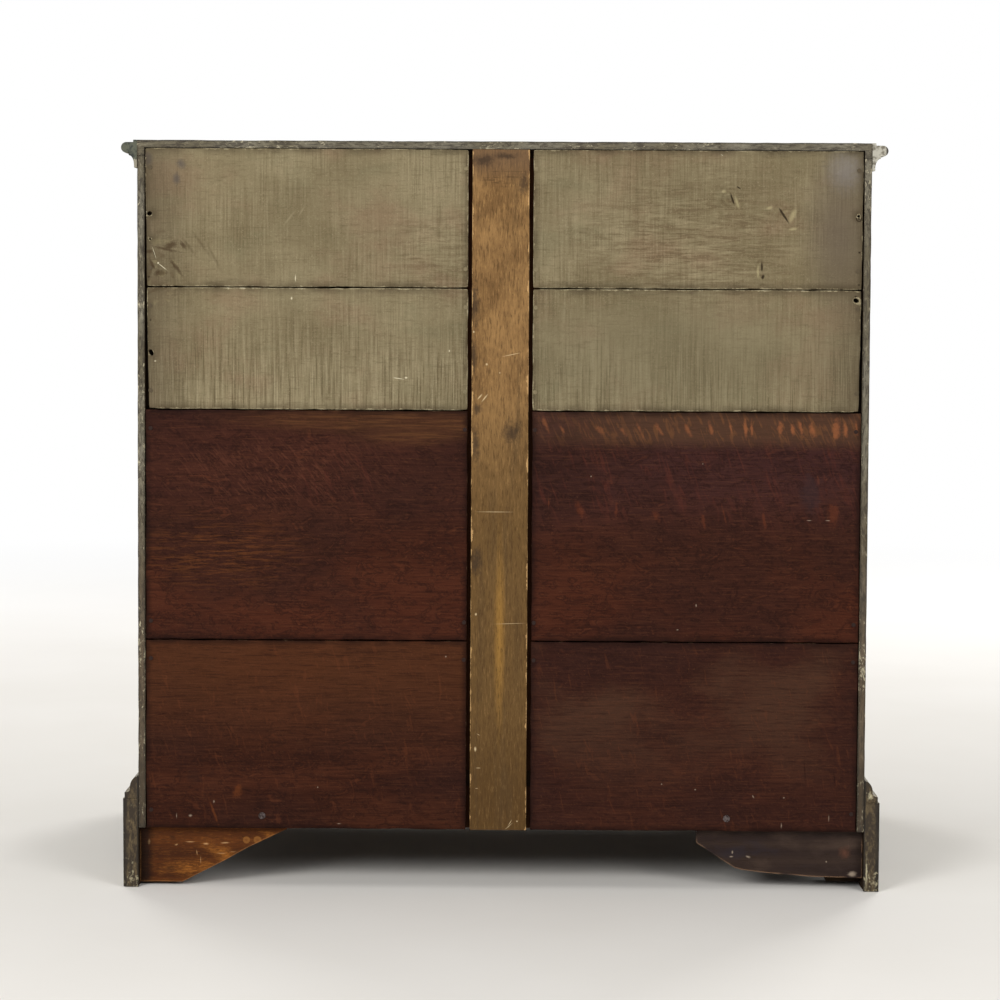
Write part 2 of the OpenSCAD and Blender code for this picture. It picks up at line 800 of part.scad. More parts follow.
module drawer_back(open) {
    left = box_left(open);
    right = box_right(open);
    low = back_low(open);
    high = back_high(open);
    back_face_y = drawer_end_y - drawer_back_t;
    color(plain_oak) difference() {
        block([left, back_face_y, low], [right, drawer_end_y, high]);
        for (x = [left - over, right - drawer_side_t - joint_play])
            translate([x, back_face_y, low])
                along_x(drawer_side_t + joint_play + over) tails(drawer_back_t, high - low, joint_play);
    }
}

module drawer_bottom(open) {
    reach = drawer_side_t - groove_d;
    color(plain_oak) block(
        [box_left(open) + reach, front_y + front_in - groove_d, bottom_low(open)],
        [box_right(open) - reach, drawer_end_y, bottom_low(open) + drawer_bottom_t]);
}

// Handles

// Round plate, drawn as radius and distance from the drawer front
module rose() {
    hole = shank_r + shank_play;
    rotate([90, 0, 0]) rotate_extrude() polygon(concat(
        [[hole, 0], [rose_r, 0]],
        arc(rose_r - rose_rim, 0, rose_rim, rose_t, rim_turn, 90),
        [[rose_r - rose_rim - rose_t / 2, rose_t * 3 / 4], [hole, rose_t * 3 / 4]]));
}

// Post with a round head, bored along X for the bail, its shank through the drawer front
module post() {
    seat = rose_t * 3 / 4 + collar_gap;
    inner = front_in + lip_t + lip_seat + nut_t + shank_end;
    difference() {
        rotate([90, seam_turn, 0]) union() {
            translate([0, 0, pivot_out]) sphere(head_r);
            translate([0, 0, seat]) cylinder(h = pivot_out - seat, r = neck_r);
            translate([0, 0, seat]) cylinder(h = collar_h, r1 = collar_r, r2 = neck_r);
            translate([0, 0, -inner]) cylinder(h = inner + seat + over, r = shank_r);
        }
        translate([-head_r - over, -pivot_out, 0]) rotate([0, 90, 0])
            cylinder(h = 2 * (head_r + over), r = bail_pin_r + pin_play, $fn = rod_fn);
    }
}

module nut() {
    rotate([-90, 0, 0]) difference() {
        cylinder(h = nut_t, r = nut_r, $fn = 6);
        translate([0, 0, -over]) cylinder(h = nut_t + 2 * over, r = shank_r + pin_play, $fn = rod_fn);
    }
}

// Plates, posts and nuts of the handles on one drawer
module handle_posts(open, handles) {
    color(brass)
        for (x = handles, side_x = [-1, 1] * post_spacing / 2)
            translate([x + side_x, face_y, mid_z(open)]) {
                rose();
                post();
                translate([0, lip_t + lip_seat + front_in, 0]) nut();
            }
}

// Bend of the rod in the plane of the bail
module bend(radius, from, to) {
    rotate([90, 0, 0]) rotate([0, 0, from]) rotate_extrude(angle = to - from)
        translate([radius, 0]) circle(rod_r, $fn = rod_fn);
}

// Right half of a bail, its pivot axis along X at the origin
module half_bail() {
    post_x = post_spacing / 2;
    neck_x = post_x + head_r + neck_gap;
    first_x = neck_x + swan_r;
    arm_x = first_x + 2 * swan_r;
    arm_low = bow_r - bail_drop;
    translate([post_x - head_r - pin_end, 0, 0]) rotate([0, 90, 0])
        cylinder(h = neck_x - post_x + head_r + pin_end, r = bail_pin_r, $fn = rod_fn);
    translate([neck_x, 0, swan_r]) bend(swan_r, -90, 0);
    translate([first_x + swan_r, 0, swan_r]) bend(swan_r, 0, 180);
    translate([arm_x, 0, arm_low]) cylinder(h = swan_r - arm_low, r = rod_r, $fn = rod_fn);
    translate([arm_x - bow_r, 0, arm_low]) bend(bow_r, -90, 0);
    translate([0, 0, -bail_drop]) rotate([0, 90, 0])
        cylinder(h = arm_x - bow_r, r = rod_r, $fn = rod_fn);
}

// Grip that swells towards its middle, turned about the rod
module swelling() {
    curve_r = (pow(swell_w / 2, 2) + pow(swell_r, 2)) / (2 * swell_r);
    rotate([0, 90, 0]) rotate_extrude() intersection() {
        translate([swell_r - curve_r, 0]) circle(curve_r, $fn = 180);
        translate([0, -swell_w / 2]) square([swell_r + over, swell_w]);
    }
}

module bail(x, open) {
    color(brass) translate([x, pivot_y, mid_z(open)]) union() {
        half_bail();
        mirror([1, 0, 0]) half_bail();
        translate([0, 0, -bail_drop]) swelling();
    }
}

// Handles of the short and the long drawers
left_handle = [-handle_x];
right_handle = [handle_x];
both_handles = [-handle_x, handle_x];

module top_left_drawer_front() { drawer_front(top_left_open, left_handle); }
module top_left_drawer_sides() { drawer_sides(top_left_open); }
module top_left_drawer_back() { drawer_back(top_left_open); }
module top_left_drawer_bottom() { drawer_bottom(top_left_open); }
module top_left_handle_posts() { handle_posts(top_left_open, left_handle); }
module top_left_bail() { bail(-handle_x, top_left_open); }

module top_right_drawer_front() { drawer_front(top_right_open, right_handle); }
module top_right_drawer_sides() { drawer_sides(top_right_open); }
module top_right_drawer_back() { drawer_back(top_right_open); }
module top_right_drawer_bottom() { drawer_bottom(top_right_open); }
module top_right_handle_posts() { handle_posts(top_right_open, right_handle); }
module top_right_bail() { bail(handle_x, top_right_open); }

module upper_drawer_front() { drawer_front(upper_open, both_handles); }
module upper_drawer_sides() { drawer_sides(upper_open); }
module upper_drawer_back() { drawer_back(upper_open); }
module upper_drawer_bottom() { drawer_bottom(upper_open); }
module upper_handle_posts() { handle_posts(upper_open, both_handles); }
module upper_left_bail() { bail(-handle_x, upper_open); }
module upper_right_bail() { bail(handle_x, upper_open); }

module middle_drawer_front() { drawer_front(middle_open, both_handles); }
module middle_drawer_sides() { drawer_sides(middle_open); }
module middle_drawer_back() { drawer_back(middle_open); }
module middle_drawer_bottom() { drawer_bottom(middle_open); }
module middle_handle_posts() { handle_posts(middle_open, both_handles); }
module middle_left_bail() { bail(-handle_x, middle_open); }
module middle_right_bail() { bail(handle_x, middle_open); }

module lower_drawer_front() { drawer_front(lower_open, both_handles); }
module lower_drawer_sides() { drawer_sides(lower_open); }
module lower_drawer_back() { drawer_back(lower_open); }
module lower_drawer_bottom() { drawer_bottom(lower_open); }
module lower_handle_posts() { handle_posts(lower_open, both_handles); }
module lower_left_bail() { bail(-handle_x, lower_open); }
module lower_right_bail() { bail(handle_x, lower_open); }

top_board();
left_side();
right_side();
bottom_board();
front_rails();
drawer_partition();
drawer_runners();
drawer_kickers();
dust_boards();
top_moulding_front();
top_moulding_left();
top_moulding_right();
base_moulding_front();
base_moulding_left();
base_moulding_right();
plinth_front();
plinth_left();
plinth_right();
left_rear_bracket();
right_rear_bracket();
foot_blocks();
left_upper_backboards();
left_lower_backboards();
right_upper_backboards();
right_lower_backboards();
back_muntin();
back_fixings();
top_left_drawer_front();
top_left_drawer_sides();
top_left_drawer_back();
top_left_drawer_bottom();
top_left_handle_posts();
top_left_bail();
top_right_drawer_front();
top_right_drawer_sides();
top_right_drawer_back();
top_right_drawer_bottom();
top_right_handle_posts();
top_right_bail();
upper_drawer_front();
upper_drawer_sides();
upper_drawer_back();
upper_drawer_bottom();
upper_handle_posts();
upper_left_bail();
upper_right_bail();
middle_drawer_front();
middle_drawer_sides();
middle_drawer_back();
middle_drawer_bottom();
middle_handle_posts();
middle_left_bail();
middle_right_bail();
lower_drawer_front();
lower_drawer_sides();
lower_drawer_back();
lower_drawer_bottom();
lower_handle_posts();
lower_left_bail();
lower_right_bail();
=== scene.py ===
# %% [markdown]
# # An old chest of drawers, seen from behind
# The construction comes from the CAD model, which is loaded as a fixed frame. This script gives every
# surface its finish, softens the edges that two centuries of use have worn, and adds the small marks
# that the photograph shows. The photograph looks at the back, so that is where most of the work goes.

# %% Load the frame
import json
import math

import bmesh
import bpy
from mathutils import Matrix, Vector, noise

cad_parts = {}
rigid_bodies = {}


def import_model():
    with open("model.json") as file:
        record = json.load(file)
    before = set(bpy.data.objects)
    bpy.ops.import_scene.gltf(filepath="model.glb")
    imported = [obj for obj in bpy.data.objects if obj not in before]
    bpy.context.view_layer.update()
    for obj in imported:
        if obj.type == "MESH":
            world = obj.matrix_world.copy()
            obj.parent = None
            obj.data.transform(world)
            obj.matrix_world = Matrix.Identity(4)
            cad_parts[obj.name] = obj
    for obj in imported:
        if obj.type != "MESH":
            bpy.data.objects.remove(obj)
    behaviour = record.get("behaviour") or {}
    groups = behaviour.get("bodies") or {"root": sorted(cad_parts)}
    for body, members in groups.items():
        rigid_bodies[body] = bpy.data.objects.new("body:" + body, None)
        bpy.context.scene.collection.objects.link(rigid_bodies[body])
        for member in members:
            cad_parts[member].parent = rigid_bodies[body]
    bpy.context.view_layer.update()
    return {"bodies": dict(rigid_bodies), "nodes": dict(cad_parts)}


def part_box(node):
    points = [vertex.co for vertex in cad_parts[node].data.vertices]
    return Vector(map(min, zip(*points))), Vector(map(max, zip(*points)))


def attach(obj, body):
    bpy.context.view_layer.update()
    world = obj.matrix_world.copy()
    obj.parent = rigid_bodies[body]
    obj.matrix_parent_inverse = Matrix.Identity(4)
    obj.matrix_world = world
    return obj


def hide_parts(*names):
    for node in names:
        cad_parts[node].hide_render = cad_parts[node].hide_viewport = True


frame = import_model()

# %% [markdown]
# ## Camera
# The photograph was taken from about 3 m behind the chest, at four fifths of its height, with the
# camera tipped down slightly. The frame was then cropped, which a small lens shift repeats. Distances
# are in metres, angles in degrees.

# %% Camera
BACK_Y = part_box("right_side")[1][1]
CAMERA_DISTANCE = 3.05
CAMERA_HEIGHT = 0.77
CAMERA_X = -0.0145
CAMERA_TILT = 2.7
CAMERA_ROLL = -0.3
CAMERA_TURN = 0.36
FOCAL_PIXELS = 2352
SENSOR_WIDTH = 36
PICTURE_PIXELS = 1000
SHIFT_PIXELS = -88

bpy.ops.object.camera_add(
    location=(CAMERA_X, BACK_Y + CAMERA_DISTANCE, CAMERA_HEIGHT),
    rotation=[math.radians(a) for a in (90 - CAMERA_TILT, CAMERA_ROLL, 180 + CAMERA_TURN)],
)
camera = bpy.context.object
camera.data.sensor_width = SENSOR_WIDTH
camera.data.lens = FOCAL_PIXELS / PICTURE_PIXELS * SENSOR_WIDTH
camera.data.shift_y = SHIFT_PIXELS / PICTURE_PIXELS
bpy.context.scene.camera = camera
bpy.context.scene.view_settings.view_transform = "Standard"
print("Lens:", round(camera.data.lens, 1), "mm")

# %% [markdown]
# ## Writing shaders as sums
# A material is a tree of small nodes. They could be added and linked one by one, but a sum is easier to
# read. A Wire is a node's output that can be added and multiplied, and a Tree adds any node and joins
# what goes into it. Colours go through Mix nodes, because a Math node would turn a colour grey.

# %% Wires
class Wire:
    """The output of a node, which Python's arithmetic can use."""

    def __init__(self, owner, socket):
        self.owner = owner
        self.socket = socket

    def math(self, operation, *values):
        """Adds a Math node with these values or wires as its inputs."""
        return self.owner.add("ShaderNodeMath", {"operation": operation}, dict(enumerate(values)))

    def __add__(self, other):
        return self.math("ADD", self, other)

    def __sub__(self, other):
        return self.math("SUBTRACT", self, other)

    def __rsub__(self, other):
        return self.math("SUBTRACT", other, self)

    def __mul__(self, other):
        return self.math("MULTIPLY", self, other)

    def __abs__(self):
        return self.math("ABSOLUTE", self)

    __radd__ = __add__
    __rmul__ = __mul__

    def larger(self, other):
        return self.math("MAXIMUM", self, other)

    def step(self, low, high):
        """Rises smoothly from 0 at low to 1 at high."""
        inputs = {"Value": self, "From Min": low, "From Max": high}
        return self.owner.add("ShaderNodeMapRange", {"interpolation_type": "SMOOTHSTEP"}, inputs)


print("Wires can be added, subtracted, multiplied, compared and stepped")

# %% [markdown]
# The world has a tree of nodes just as a material has, so one class serves both. Its one method takes a
# node's type, its settings and its inputs, and everything that follows is built with it.

# %% Trees of nodes
class Tree:
    """The nodes of a material or of the world, and one method that adds any of them."""

    def __init__(self, block):
        block.use_nodes = True
        self.name = block.name
        self.tree = block.node_tree

    def __str__(self):
        return self.name + ": " + str(len(self.tree.nodes)) + " nodes"

    def join(self, value, socket):
        """Links a wire to a socket, or sets a plain value on it."""
        if isinstance(value, Wire):
            self.tree.links.new(value.socket, socket)
        else:
            socket.default_value = value

    def add(self, kind, settings=None, inputs=None, output=0):
        """Adds a node, sets it, joins its inputs and returns one of its outputs."""
        node = self.tree.nodes.new(kind)
        for name, value in (settings or {}).items():
            setattr(node, name, value)
        for name, value in (inputs or {}).items():
            self.join(value, node.inputs[name])
        return Wire(self, node.outputs[output])


print("One method adds every node")

# %% [markdown]
# ## Patterns and finishes
# Every pattern here depends on a place on the object, in metres, so it stays where it is as the piece
# moves or is exported. A Mapping node moves, stretches and turns that place, and noise of it gives
# grain, dirt and chips.

# %% Places and noise
class Surface(Tree):
    """A tree that knows the place of a point, and gives noise that depends on it."""

    def __init__(self, block):
        super().__init__(block)
        self.place = self.add("ShaderNodeTexCoord", output="Object")
        self.x, self.y, self.z = (
            self.add("ShaderNodeSeparateXYZ", inputs={0: self.place}, output=i) for i in range(3)
        )

    def local(self, origin, size, turn=0):
        """Coordinates in a box of its own: 0 at the origin and 1 at size from it, turned about Y."""
        inputs = {0: self.place, 1: origin, 2: (0, math.radians(turn), 0), 3: size}
        return self.add("ShaderNodeMapping", {"vector_type": "TEXTURE"}, inputs)

    def noise(self, size, detail=3, rough=0.5, warp=0, seed=0, turn=0):
        """Soft blotches, about size metres long on each axis, turned about Y."""
        place = self.local([-seed * length for length in size], size, turn)
        inputs = {"Vector": place, "Scale": 1, "Detail": detail, "Roughness": rough, "Distortion": warp}
        return self.add("ShaderNodeTexNoise", inputs=inputs)


print("Noise can be stretched on each axis")

# %% [markdown]
# A single mark, such as a knot or a scratch, could be painted on an image. Here it is an ellipse at its
# own place, made from a spherical gradient, and any noise can fray its rim.

# %% Marks
REACH = 3
ANY_DEPTH = 1e3


class Marked(Surface):
    """A surface with marks at given places."""

    def reach(self, x, z, width, height, turn=0):
        """0 at a place on the back or front, 1 on the rim of an ellipse round it, at most REACH."""
        place = self.local((x, 0, z), (width / 2 * REACH, ANY_DEPTH, height / 2 * REACH), turn)
        ball = self.add("ShaderNodeTexGradient", {"gradient_type": "SPHERICAL"}, {"Vector": place}, "Fac")
        return (1 - ball) * REACH

    def spot(self, x, z, width, height, turn=0, soft=0.5, ragged=None):
        """1 inside an ellipse and 0 outside it; a noise called ragged frays its rim."""
        distance = self.reach(x, z, width, height, turn)
        if ragged is not None:
            distance = distance + ragged
        return 1 - distance.step(1 - soft, 1)

    def spots(self, places, soft=0.5, ragged=None):
        """1 inside any of several ellipses: x, z, width, height and, where it leans, degrees."""
        whole = self.spot(*places[0], soft=soft, ragged=ragged)
        for place in places[1:]:
            whole = whole.larger(self.spot(*place, soft=soft, ragged=ragged))
        return whole


print("The distance from a mark is known up to", REACH, "times its size")

# %% [markdown]
# Wear follows the shape of a piece. An edge shows where a rounded normal, from a Bevel node, differs
# from the true one, and the sawn end of a board is where the true normal looks along the grain.

# %% Edges and ends
class Worn(Marked):
    """A surface that knows its edges and ends."""

    def arris(self, radius):
        """1 on an edge of the piece, 0 on its flats, from a rounded normal that leaves the real one."""
        rounded = self.add("ShaderNodeBevel", {"samples": 4}, {"Radius": radius})
        true = self.add("ShaderNodeNewGeometry", output="True Normal")
        both = {0: rounded, 1: true}
        same = self.add("ShaderNodeVectorMath", {"operation": "DOT_PRODUCT"}, both, "Value")
        return (1 - same).step(0.0, 0.25)

    def attribute(self, name):
        """A number that the piece's mesh carries at each point."""
        return self.add("ShaderNodeAttribute", {"attribute_name": name}, output="Fac")

    def facing(self, axis):
        """1 on faces that look along an axis, and 0 on the others."""
        true = self.add("ShaderNodeNewGeometry", output="True Normal")
        part = self.add("ShaderNodeSeparateXYZ", inputs={0: true}, output=axis.upper())
        return abs(part).step(0.8, 0.95)


print("Edges come from a Bevel node or from an attribute")

# %% [markdown]
# A finish is built as a painter works. The ground comes first, each coat goes over what is there, as
# thickly as a pattern says, and at the end the shader gets the colour, a roughness and some relief.

# %% Finishes and colours
class Finish(Worn):
    """One material: a Principled shader, and the colour that is built up for it."""

    def __init__(self, name, **fixed):
        self.material = bpy.data.materials.new(name)
        super().__init__(self.material)
        self.shader = self.tree.nodes["Principled BSDF"]
        for socket, value in fixed.items():
            self.feed(socket.replace("_", " "), value)

    def feed(self, name, value):
        self.join(value, self.shader.inputs[name])

    def mix(self, factor, first, second):
        """The first colour where factor is 0, the second where it is 1."""
        inputs = {"Factor": factor, 6: first, 7: second}
        return self.add("ShaderNodeMix", {"data_type": "RGBA"}, inputs, 2)

    def base(self, factor, first, second):
        """Starts the colour with a mix of two."""
        self.colour = self.mix(factor, first, second)

    def coat(self, factor, colour):
        """Lays a colour over what is there, as thickly as factor says."""
        self.colour = self.mix(factor, self.colour, colour)

    def close(self, roughness, height, depth):
        """Feeds the shader; a height from 0 to 1 becomes relief depth metres deep."""
        relief = self.add("ShaderNodeBump", inputs={"Height": height, "Distance": depth}, output="Normal")
        self.feed("Base Color", self.colour)
        self.feed("Roughness", roughness)
        self.feed("Normal", relief)


def srgb(red, green, blue):
    """A colour as a screen shows it, from 0 to 255, as the linear one that shaders use."""
    return tuple((((c / 255) + 0.055) / 1.055) ** 2.4 for c in (red, green, blue)) + (1.0,)


print("Middle grey on a screen is", round(srgb(128, 128, 128)[0], 3), "to a shader")

# %% [markdown]
# ## Floor and light
# The chest stands on a plain pale floor in front of white. One large plane is enough, and far from the
# chest its colour fades into plain white for the camera, so that no horizon shows.

# %% Floor
FLOOR_SIZE = 30
FLOOR_Z = -0.0005
FADE_FROM = 1.2
FADE_TO = 4.5
WHITE = (1, 1, 1, 1)

pale_floor = Finish("pale_floor", Roughness=1.0, Specular_IOR_Level=0.0)
speckle = pale_floor.noise((0.4, 0.4, 0.4), detail=5)
pale_floor.base(speckle, srgb(226, 222, 215), srgb(236, 233, 228))
pale_floor.feed("Base Color", pale_floor.colour)
place = {0: pale_floor.place}
from_middle = pale_floor.add("ShaderNodeVectorMath", {"operation": "LENGTH"}, place, "Value")
seen = pale_floor.add("ShaderNodeLightPath", output="Is Camera Ray")
shaded = Wire(pale_floor, pale_floor.shader.outputs[0])
white = pale_floor.add("ShaderNodeEmission", inputs={"Color": WHITE, "Strength": 1})
inputs = {0: from_middle.step(FADE_FROM, FADE_TO) * seen, 1: shaded, 2: white}
faded = pale_floor.add("ShaderNodeMixShader", inputs=inputs)
pale_floor.join(faded, pale_floor.tree.nodes["Material Output"].inputs["Surface"])
print(pale_floor)

bpy.ops.object.select_all(action="DESELECT")
bpy.ops.mesh.primitive_plane_add(size=FLOOR_SIZE, location=(0, 0, FLOOR_Z))
floor = bpy.context.object
floor.name = "floor"
floor.data.materials.append(pale_floor.material)
bpy.ops.object.transform_apply()

# %% [markdown]
# The white background shows only to the camera and in reflections, so it adds no light. The lamps are
# large and soft. One pair lights the back from beside the camera, a second pair does the same for the
# front, and a weaker lamp hangs above. All of them are high enough to leave the ground under the chest
# in the dark.

# %% World
AMBIENT = 0.27
world = bpy.data.worlds.new("studio")
bpy.context.scene.world = world
sky = Tree(world)
plain = sky.tree.nodes["Background"]
sky.join(WHITE, plain.inputs["Color"])
sky.join(AMBIENT, plain.inputs["Strength"])
backdrop = sky.add("ShaderNodeBackground", inputs={"Color": WHITE})
camera_ray = sky.add("ShaderNodeLightPath", output="Is Camera Ray")
glossy_ray = sky.add("ShaderNodeLightPath", output="Is Glossy Ray")
through_ray = sky.add("ShaderNodeLightPath", output="Is Transmission Ray")
shown = camera_ray.larger(glossy_ray).larger(through_ray)
chosen = sky.add("ShaderNodeMixShader", inputs={0: shown, 1: Wire(sky, plain.outputs[0]), 2: backdrop})
sky.join(chosen, sky.tree.nodes["World Output"].inputs["Surface"])
print(sky)

# %% [markdown]
# A lamp is turned towards the middle of the chest in code, because an angle worked out by hand would
# have to change each time the lamp moves.

# %% Lamps
# Name, place, size in metres, watts
LAMPS = [
    ("back_key", (2.2, 3.2, 2.2), 1.6, 90), ("back_fill", (-2.4, 3.0, 2.2), 1.6, 55),
    ("front_key", (-2.2, -3.4, 2.2), 1.6, 92), ("front_fill", (2.4, -3.2, 2.2), 1.6, 57),
    ("above", (0, 0.2, 3.6), 2.4, 34),
]
MIDDLE = Vector((0, 0, 0.5))
for name, place, size, watts in LAMPS:
    bpy.ops.object.light_add(type="AREA", location=place)
    lamp = bpy.context.object
    lamp.name = name
    lamp.data.size = size
    lamp.data.energy = watts
    lamp.rotation_euler = (MIDDLE - Vector(place)).to_track_quat("-Z", "Y").to_euler()
    print(name, watts, "W")

# %% [markdown]
# ## Bare oak
# Inside the chest nothing was ever painted. Oak shows long brown streaks along the grain and short dark
# pores. Noise that is stretched along one axis gives both, so one function makes three finishes, for
# pieces whose grain runs along X, Y or Z. Dry wood hardly shines: its specular level is low.

# %% Streaks and pores
DRY = 0.04


def along(axis, long, across):
    """Size of a streak: long metres on its own axis and across metres on the other two."""
    return tuple(long if name == axis else across for name in "xyz")


def bare_oak(finish, axis, pale, dark, seed=0):
    """Gives a finish the colour of unpainted oak, and returns its relief."""
    wide = finish.noise(along(axis, 0.5, 0.022), detail=3, warp=0.3, seed=seed)
    fine = finish.noise(along(axis, 0.09, 0.0018), detail=4, rough=0.6, seed=seed + 3)
    pores = finish.noise(along(axis, 0.008, 0.0007), detail=1, seed=seed + 5).step(0.6, 0.72)
    finish.base(wide.step(0.3, 0.7), pale, dark)
    finish.coat(fine.step(0.35, 0.75) * 0.55, dark)
    finish.coat(pores * 0.6, srgb(52, 38, 26))
    return fine * 0.6 - pores * 0.8


print("A pore along X is", along("x", 8, 0.7), "mm")

# %% [markdown]
# The sawn end of a board soaks up dirt and looks darker, so the dovetails show where a drawer's sides
# meet its front and back. Near the back and underneath, the wood is painted almost black as shade, and
# dust lies on the rest in clouds.

# %% Three oak finishes
BOTTOM_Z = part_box("bottom_board")[0][2]
PALE_OAK = srgb(166, 133, 94)
DARK_OAK = srgb(118, 88, 58)
# Nearly black, used for painted shade.
SHADE_BLACK = srgb(22, 16, 13)
oak = {}
for axis in "xyz":
    wood = Finish("bare_oak_" + axis, Specular_IOR_Level=DRY)
    height = bare_oak(wood, axis, PALE_OAK, DARK_OAK)
    dust = wood.noise((0.15, 0.15, 0.15), detail=4, seed=9).step(0.4, 0.75)
    wood.coat(dust * 0.35, srgb(128, 112, 92))
    wood.coat(wood.facing(axis) * 0.75, srgb(80, 56, 36))
    # Painted shade: near the back of the chest and below the bottom board, the bare wood is darkened
    # almost to black.
    rear = wood.y.step(BACK_Y - 0.028, BACK_Y - 0.02)
    under = 1 - wood.z.step(BOTTOM_Z - 0.004, BOTTOM_Z + 0.016)
    wood.coat(rear.larger(under) * 0.93, SHADE_BLACK)
    wood.close(0.75, height, 0.0003)
    oak[axis] = wood
    print(wood)

# %% [markdown]
# ## Old paint
# The outside was painted olive grey over a cream coat, long ago. Hands and feet have rubbed the paint
# away where edges stand out: there a cream rim shows first and brown wood inside it. One noise says how
# far the paint is worn, and border, which is 1 along the edges, raises it, so that chips gather there.

# %% Old paint
OLIVE = srgb(100, 93, 72)
OLIVE_DARK = srgb(72, 64, 47)
OLIVE_PALE = srgb(124, 115, 90)
CREAM = srgb(200, 190, 160)
WORN_WOOD = srgb(88, 66, 46)


def old_paint(finish, axis, border, handled=None):
    """Lays the paint; returns how far it is worn and its relief. handled is 1 where hands reach."""
    cloud = finish.noise((0.2, 0.2, 0.2), detail=4)
    blush = finish.noise((0.13, 0.13, 0.07), detail=4, seed=2)
    strokes = finish.noise(along(axis, 0.1, 0.0022), detail=3, seed=4)
    fine = finish.noise((0.005, 0.005, 0.005), detail=4, rough=0.75, seed=8)
    finish.base(cloud.step(0.3, 0.7), OLIVE, OLIVE_PALE)
    finish.coat(blush.step(0.5, 0.7) * 0.4, srgb(122, 102, 80))
    finish.coat(strokes.step(0.45, 0.8) * 0.6, OLIVE_DARK)
    finish.coat(fine.step(0.52, 0.7) * 0.5, OLIVE_DARK)
    finish.coat(fine.step(0.46, 0.3) * 0.3, srgb(140, 130, 104))
    chips = finish.noise((0.013, 0.013, 0.013), detail=6, rough=0.7, warp=0.4, seed=12)
    rubbed = finish.noise((0.06, 0.06, 0.06), detail=4, rough=0.6, seed=18).step(0.4, 0.62)
    worn = chips + border * (rubbed * 0.26 + 0.18) + finish.noise((0.3, 0.3, 0.3), seed=15) * 0.16
    if handled is not None:
        worn = worn + handled * 0.11
        finish.coat(handled * 0.45, OLIVE_DARK)
    finish.coat(worn.step(0.78, 0.8), CREAM)
    finish.coat(worn.step(0.85, 0.89), WORN_WOOD)
    return worn, strokes * 0.5 + fine * 0.3 - worn.step(0.78, 0.81)


print("Worn paint shows cream", [round(c, 2) for c in CREAM])

# %% [markdown]
# The rear edges of the top, the sides and the plinth are greyer and dirtier than the rest, mottled down
# to the wood, and browner near the floor. Their arrises are darkened almost to black as painted shade.
# They all lie in one plane, so the finish can change there by place alone, and they need no material of
# their own.

# %% Rear edges
LIP_GREY = srgb(116, 110, 94)
LIP_BROWN = srgb(84, 68, 50)
LIP_DARK = srgb(46, 40, 33)


def on_rear(finish):
    """1 on the rearmost faces, and 0 just in front of them."""
    return finish.y.step(BACK_Y - 0.0012, BACK_Y - 0.0004)


def rear_edges(finish, axis, border):
    """Thin, mottled paint over dirty wood."""
    mottle = finish.noise(along(axis, 0.013, 0.0045), detail=6, rough=0.75, warp=0.6, seed=21)
    streak = finish.noise(along(axis, 0.03, 0.0015), detail=4, rough=0.7, seed=24)
    fleck_width = 0.0055 if axis == "y" else 0.0028
    fleck = finish.noise(along(axis, 0.008, fleck_width), detail=5, rough=0.75, warp=0.5, seed=27)
    cluster = finish.noise((0.06, 0.06, 0.06), detail=3, seed=33)
    tint = finish.noise((0.09, 0.09, 0.09), detail=3, seed=30)
    low = 1 - finish.z.step(0.3, 0.62)
    edge = finish.mix(tint.step(0.35, 0.65), LIP_GREY, srgb(94, 86, 66))
    edge = finish.mix(low * 0.85, edge, LIP_BROWN)
    edge = finish.mix((1 - finish.z.step(0.155, 0.18)) * 0.85, edge, srgb(66, 54, 38))
    edge = finish.mix(mottle.step(0.48, 0.6) * 0.85, edge, srgb(58, 50, 38))
    edge = finish.mix(streak.step(0.52, 0.64) * 0.7, edge, LIP_DARK)
    edge = finish.mix(mottle.step(0.44, 0.34) * (0.5 - low * 0.3), edge, srgb(152, 144, 124))
    # Painted shade: the arrises of the rear faces are darkened, for the dark lines beside the lips.
    edge = finish.mix(border * (0.75 + low * 0.15), edge, srgb(32, 27, 22))
    chips = fleck + cluster * 0.5 + border * 0.05
    edge = finish.mix(chips.step(0.86, 0.92) * 0.8, edge, srgb(182, 172, 144))
    foot = 1 - finish.z.step(0.004, 0.02)
    edge = finish.mix(foot * fleck.step(0.42, 0.5) * 0.7, edge, srgb(150, 142, 124))
    finish.coat(on_rear(finish), edge)


print("The rear plane is at y =", round(BACK_Y, 4))

# %% [markdown]
# The sawn ends of the mouldings show in that plane too. Those of the top moulding are slate dark on one
# side of the chest and cream on the other. Those of the base moulding and the side plinths have dark
# rims, and cream rubs near the floor.

# %% Ends of the mouldings and plinths
OUTER_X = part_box("right_side")[1][0]
TOP_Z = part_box("top_board")[1][2]
PLINTH_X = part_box("plinth_right")[1][0]


def moulding_ends(finish):
    """The ends of the top mouldings, slate dark at +X and cream at -X."""
    blotch = finish.noise((0.008, 0.008, 0.008), detail=5, rough=0.65, seed=36)
    slate = finish.mix(blotch.step(0.38, 0.55), srgb(44, 48, 43), srgb(84, 86, 72))
    shoulder = blotch * 0.02 + TOP_Z - 0.037
    slate = finish.mix(finish.z.math("LESS_THAN", finish.z, shoulder), slate, srgb(142, 136, 119))
    pale = finish.mix(blotch.step(0.45, 0.62), srgb(178, 174, 160), srgb(112, 106, 92))
    tip = 1 - finish.x.step(-OUTER_X - 0.0195, -OUTER_X - 0.0165)
    pale = finish.mix(tip, pale, LIP_DARK)
    ends = finish.mix(finish.x.step(-0.01, 0.01), pale, slate)
    finish.coat(on_rear(finish) * finish.z.step(0.9, 0.91), ends)


